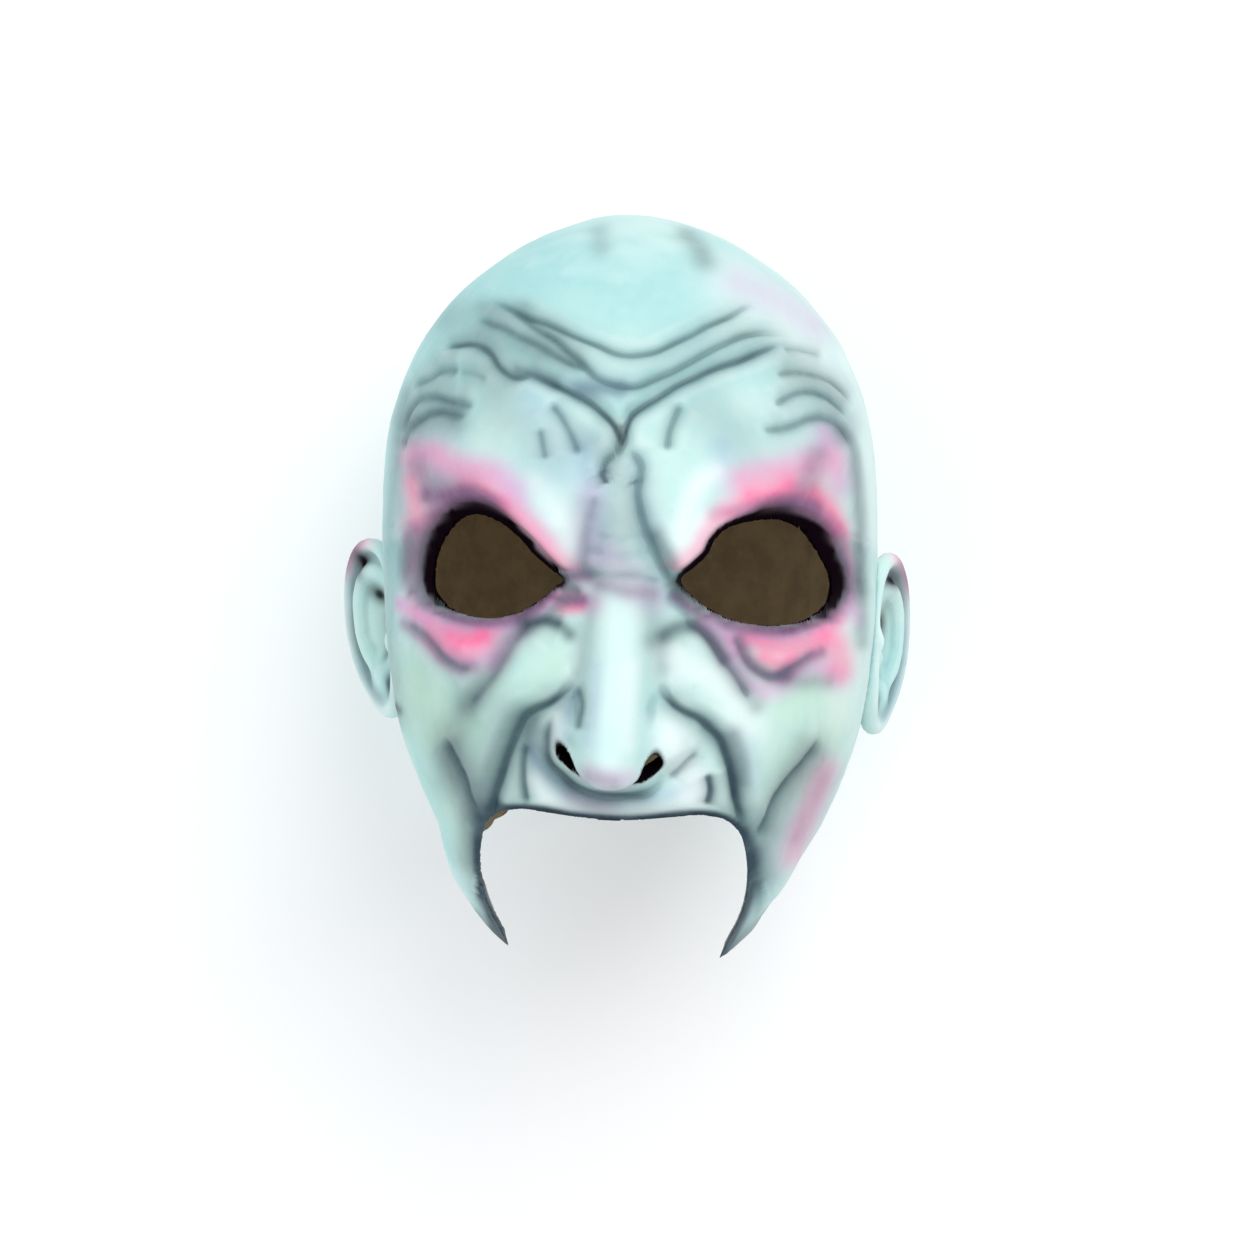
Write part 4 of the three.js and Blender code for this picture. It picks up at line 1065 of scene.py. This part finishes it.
# The paint was worked out on the skins before the cutting. Each point of the cut casting takes it from the
# nearest point of the skin that it belongs to.
head_skin = skin_of(outer_points, outer_faces)
painted = {name: [np.concatenate([[0], coat, [0]])] for name, coat in coats.items()}
for side, points in zip((-1, 1), ear_skins):
    clear_of_head = smooth(0.1, 1.4, gaps(head_skin, points))
    ear = ear_coats(side)
    for name in painted:
        coat = np.ravel(ear[name]) if name in ear else np.zeros(len(points) - 2)
        painted[name].append(np.concatenate([[0], coat, [0]]) * clear_of_head)
head_tree, ear_tree = tree_of(outer_points), tree_of(np.vstack(ear_skins))
point_of_corner = read(cut_mesh.loops, "vertex_index", np.int32)
surface_of_corner = np.repeat(read(cut_mesh.polygons, "material_index", np.int32),
                              read(cut_mesh.polygons, "loop_total", np.int32))


def corners_on(surface):
    return surface_of_corner == SURFACES.index(surface)


def touches(surface):
    marked = np.zeros(len(cut_mesh.vertices), bool)
    marked[point_of_corner[corners_on(surface)]] = True
    return marked


def keep_on_mesh(name, domain, values):
    cut_mesh.attributes.new(name, "FLOAT", domain).data.foreach_set("value", values.astype(np.float32))


places = cut_points / MM - EYE_LINE
on_ear = touches("ear") & ~touches("outer")
from_point = [len(outer_points) + ear_tree.find(place)[1] if ear else head_tree.find(place)[1]
              for place, ear in zip(places, on_ear)]
skins = [head_skin] + [skin_of(points, ear_faces) for points in ear_skins]
from_skin = np.min([gaps(skin, places) for skin in skins], axis=0)
nostril_radii = in_nostrils(places, reach=24)
# The walls of the nostrils and the inside of the casting behind them are painted black: paint, and painted
# shade for the dark inside the nose.
behind_nostril = ((nostril_radii < 4.5) & (from_skin > 1)) | ((nostril_radii < 1.3) & touches("cut"))
by_eye_hole = (places[:, 2] > 12) & (from_eye_hole(places[:, 0], places[:, 1]) < 2)
eye_wall = corners_on("cut") & by_eye_hole[point_of_corner]
# How many even passes of the airbrush each paint is built up in.
PASSES = {"slate": 1.5, "plum": 1.45, "mauve": 1.8, "pink": 1.3, "lilac": 1.3, "white": 1, "teal": 1,
          "green": 1, "blue": 1}
for name, parts in painted.items():
    values = 1 - (1 - np.clip(np.concatenate(parts)[from_point], 0, 1)) ** PASSES[name]
    if name == "plum":
        values[behind_nostril] = 1
    values = values[point_of_corner]
    values[eye_wall] = 1 if name == "plum" else 0
    keep_on_mesh(name, "CORNER", values)

# The inside and the cut edge of the neck stay bare. The cut edges on the face are painted over, and the
# inside
# of the nostrils is painted black: paint on their walls, and painted shade for the dark inside the nose.
bare = np.where(corners_on("inner"), 1.0, 0.0)
cut_corner = np.flatnonzero(corners_on("cut"))
bare[cut_corner] = smooth(16, 8, places[point_of_corner[cut_corner], 2])
by_notch = (nearest(notch_edge, places[:, 0], places[:, 1])[0] < 2.5) & (places[:, 2] > 30)
bare[(behind_nostril | by_notch)[point_of_corner]] = 0
keep_on_mesh("bare", "CORNER", bare)

# Painted shade and painted highlight from the bend of the surface, all over the cast: its hollows are
# darkened and its rises made paler.
STEEPEST_DIP = 0.12
DEEP_DIP = 0.06

normals = read(cut_mesh.vertices, "normal", np.float32, 3)
dips = np.sum((neighbours_mean(cut_points, cut_edges) - cut_points) * normals, axis=1) / MM
dips = np.clip(dips, -STEEPEST_DIP, STEEPEST_DIP)
for _ in range(4):
    dips = 0.4 * dips + 0.6 * neighbours_mean(dips, cut_edges)
keep_on_mesh("dip", "POINT", np.clip(dips / DEEP_DIP, -1, 1))


def colour(red, green, blue):
    """A colour as it looks in daylight, 0 to 255, as the shader takes it."""
    shares = (red / 255, green / 255, blue / 255)
    return tuple((c / 12.92 if c < 11 / 255 else ((c + 0.055) / 1.055) ** 2.4) for c in shares) + (1,)


class Wire:
    """One value running through the shader of a finish, on which arithmetic adds the nodes it needs."""

    def __init__(self, finish, socket):
        self.finish, self.socket = finish, socket

    def _math(self, operation, first, second):
        return self.finish.add("ShaderNodeMath", {0: first, 1: second}, operation=operation)

    def __add__(self, other):
        return self._math("ADD", self, other)

    def __sub__(self, other):
        return self._math("SUBTRACT", self, other)

    def __rsub__(self, other):
        return self._math("SUBTRACT", other, self)

    def __mul__(self, other):
        return self._math("MULTIPLY", self, other)

    __radd__ = __add__
    __rmul__ = __mul__


class Finish:
    """A material in the making."""

    def __init__(self, name):
        self.material = bpy.data.materials.new(name)
        self.material.use_nodes = True
        self.tree = self.material.node_tree
        self.tree.nodes.clear()

    def add(self, kind, sockets=(), out=0, **settings):
        node = self.tree.nodes.new(kind)
        for name, value in settings.items():
            setattr(node, name, value)
        for name, value in dict(sockets).items():
            if isinstance(value, Wire):
                self.tree.links.new(value.socket, node.inputs[name])
            else:
                node.inputs[name].default_value = value
        return Wire(self, node.outputs[out]) if node.outputs else None

    def paint(self, amount, under, over):
        return self.add("ShaderNodeMix", {0: amount, 6: under, 7: over}, out=2, data_type="RGBA")

    def speckle(self, size, detail=2, roughness=0.5):
        """Noise with patches of about the given size in millimetres, from 0 to 1."""
        place = self.add("ShaderNodeTexCoord", out="Object")
        return self.add("ShaderNodeTexNoise", {"Vector": place, "Scale": 1 / (size * MM), "Detail": detail,
                                               "Roughness": roughness})

    def fade(self, value, start, stop):
        return self.add("ShaderNodeMapRange", {"Value": value, "From Min": start, "From Max": stop},
                        interpolation_type="SMOOTHSTEP")

    def coat(self, name):
        return self.add("ShaderNodeAttribute", out="Fac", attribute_name=name)


latex = Finish("painted_latex")
clouds = latex.speckle(34, detail=3)
blotches = latex.speckle(9, detail=4, roughness=0.6)
grain = latex.speckle(1.3, detail=3, roughness=0.6)
pores = latex.speckle(0.7, roughness=0.6)
ragged = 0.7 + 0.6 * blotches
dip = latex.coat("dip")
tone = latex.paint(latex.fade(clouds, 0.35, 0.65), colour(176, 216, 214), colour(196, 227, 220))
tone = latex.paint(latex.fade(latex.speckle(17, 3), 0.55, 0.8) * 0.4, tone, colour(168, 212, 212))
# Teal is the mask's own paint and, over the crown and left side, painted shade; white is pale paint and
# painted highlight.
for name, most, hue in (("teal", 0.8, (158, 214, 214)), ("green", 0.7, (190, 222, 196)),
                        ("blue", 0.8, (158, 188, 216)), ("white", 0.9, (232, 242, 240))):
    tone = latex.paint(latex.coat(name) * ragged * most, tone, colour(*hue))
# painted highlight: the rises of the surface made paler
tone = latex.paint(latex.fade(dip, 0.1, -0.7) * 0.3, tone, colour(228, 245, 242))
tone = latex.paint(latex.coat("lilac") * ragged * 0.9, tone, colour(212, 164, 206))
tone = latex.paint(latex.coat("pink") * ragged, tone, colour(246, 122, 166))
tone = latex.paint(latex.coat("mauve") * ragged, tone, colour(128, 92, 128))
# painted shade: the hollows of the surface darkened
tone = latex.paint(latex.fade(dip, 0.15, 0.9) * 0.35, tone, colour(96, 134, 140))
# Slate: paint in the furrows, painted shade on the sides of the nose and in the ears' folds, painted shadow
# under the nose.
tone = latex.paint(latex.coat("slate") * (0.86 + 0.28 * blotches), tone, colour(44, 66, 78))
# Plum: black paint, painted shade inside the nostrils and in the ears' gaps, painted shadow under the brow
# and the lip.
tone = latex.paint(latex.coat("plum"), tone, colour(24, 12, 24))
tone = latex.paint(latex.fade(grain, 0.66, 0.8) * 0.25, tone, colour(120, 160, 160))
raw = latex.paint(latex.fade(blotches, 0.3, 0.7), colour(176, 156, 122), colour(156, 138, 108))
tone = latex.paint(latex.fade(latex.coat("bare"), 0.45, 0.75), tone, raw)

# The seam where the halves of the mould met runs over the crown behind the ears. Like the pores it is too
# fine to be modelled.
SEAM_AT = 0.0785
SEAM_SLANT = 0.07
SEAM_WAVER = 0.002
SEAM_HALF_WIDTH_SQUARED = 1.2e-6

place = latex.add("ShaderNodeTexCoord", out="Object")
up_head, out_of_face = (latex.add("ShaderNodeSeparateXYZ", {"Vector": place}, out=axis) for axis in (1, 2))
from_seam = out_of_face - SEAM_SLANT * up_head - SEAM_AT + SEAM_WAVER * latex.speckle(40, 1)
seam = latex.fade(from_seam * from_seam, SEAM_HALF_WIDTH_SQUARED, 0)
height = pores * 0.5 + grain * 0.6 + blotches * 0.9 + seam * 1.6
relief = latex.add("ShaderNodeBump", {"Strength": 0.35, "Distance": 0.0004, "Height": height}, out="Normal")
gloss = latex.add("ShaderNodeBsdfPrincipled", {"Base Color": tone, "Roughness": 0.42 + 0.2 * blotches,
                                               "Normal": relief, "Specular IOR Level": 0.18})
matt = latex.add("ShaderNodeBsdfDiffuse", {"Color": colour(15, 7, 13), "Roughness": 0.5})
skin = latex.add("ShaderNodeMixShader", {0: latex.fade(latex.coat("plum"), 0.6, 1.02), 1: gloss, 2: matt})
latex.add("ShaderNodeOutputMaterial", {"Surface": skin})
cut_mesh.materials.clear()
cut_mesh.polygons.foreach_set("material_index", [0] * len(cut_mesh.polygons))
for mark in marks:
    bpy.data.materials.remove(mark)
cut_mesh.materials.append(latex.material)
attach(mask, "root")
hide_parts("latex_mask")

# The floor: a plain pale sheet under the mask.
FLOOR_REACH = 4
sheet = bpy.data.meshes.new("floor")
sheet.from_pydata([(FLOOR_REACH * x, FLOOR_REACH * y, 0) for x, y in ((-1, -1), (1, -1), (1, 1), (-1, 1))],
                  [], [(0, 1, 2, 3)])
floor = bpy.data.objects.new("floor", sheet)
bpy.context.scene.collection.objects.link(floor)
paper = Finish("pale_paper")
paper_tone = paper.paint(paper.speckle(400), colour(250, 250, 250), colour(253, 253, 253))
paper_face = paper.add("ShaderNodeBsdfPrincipled", {"Base Color": paper_tone, "Roughness": 0.9})
paper.add("ShaderNodeOutputMaterial", {"Surface": paper_face})
sheet.materials.append(paper.material)

# The lights: a broad soft one from the upper right of the face, a weaker one from the left, and a pale room.
MASK_MIDDLE = Vector((0, 0, 0.12))


def soft_light(name, place, side, power, tint):
    lamp = bpy.data.lights.new(name, "AREA")
    lamp.shape = "DISK"
    lamp.size = side
    lamp.energy = power
    lamp.color = tint
    lamp_object = bpy.data.objects.new(name, lamp)
    bpy.context.scene.collection.objects.link(lamp_object)
    lamp_object.location = place
    toward = MASK_MIDDLE - Vector(place)
    lamp_object.rotation_euler = toward.to_track_quat("-Z", "Y").to_euler()


soft_light("key_light", (0.45, 0.6, 1.3), side=1.1, power=9.2, tint=(1, 1, 1))
soft_light("fill_light", (-0.8, -0.5, 1.2), side=1.2, power=4, tint=(0.97, 0.99, 1))
room = bpy.data.worlds.new("pale_room")
room.use_nodes = True
for socket, value in (("Color", (0.95, 0.97, 1, 1)), ("Strength", 0.78)):
    room.node_tree.nodes["Background"].inputs[socket].default_value = value
bpy.context.scene.world = room
bpy.context.scene.view_settings.view_transform = "Standard"
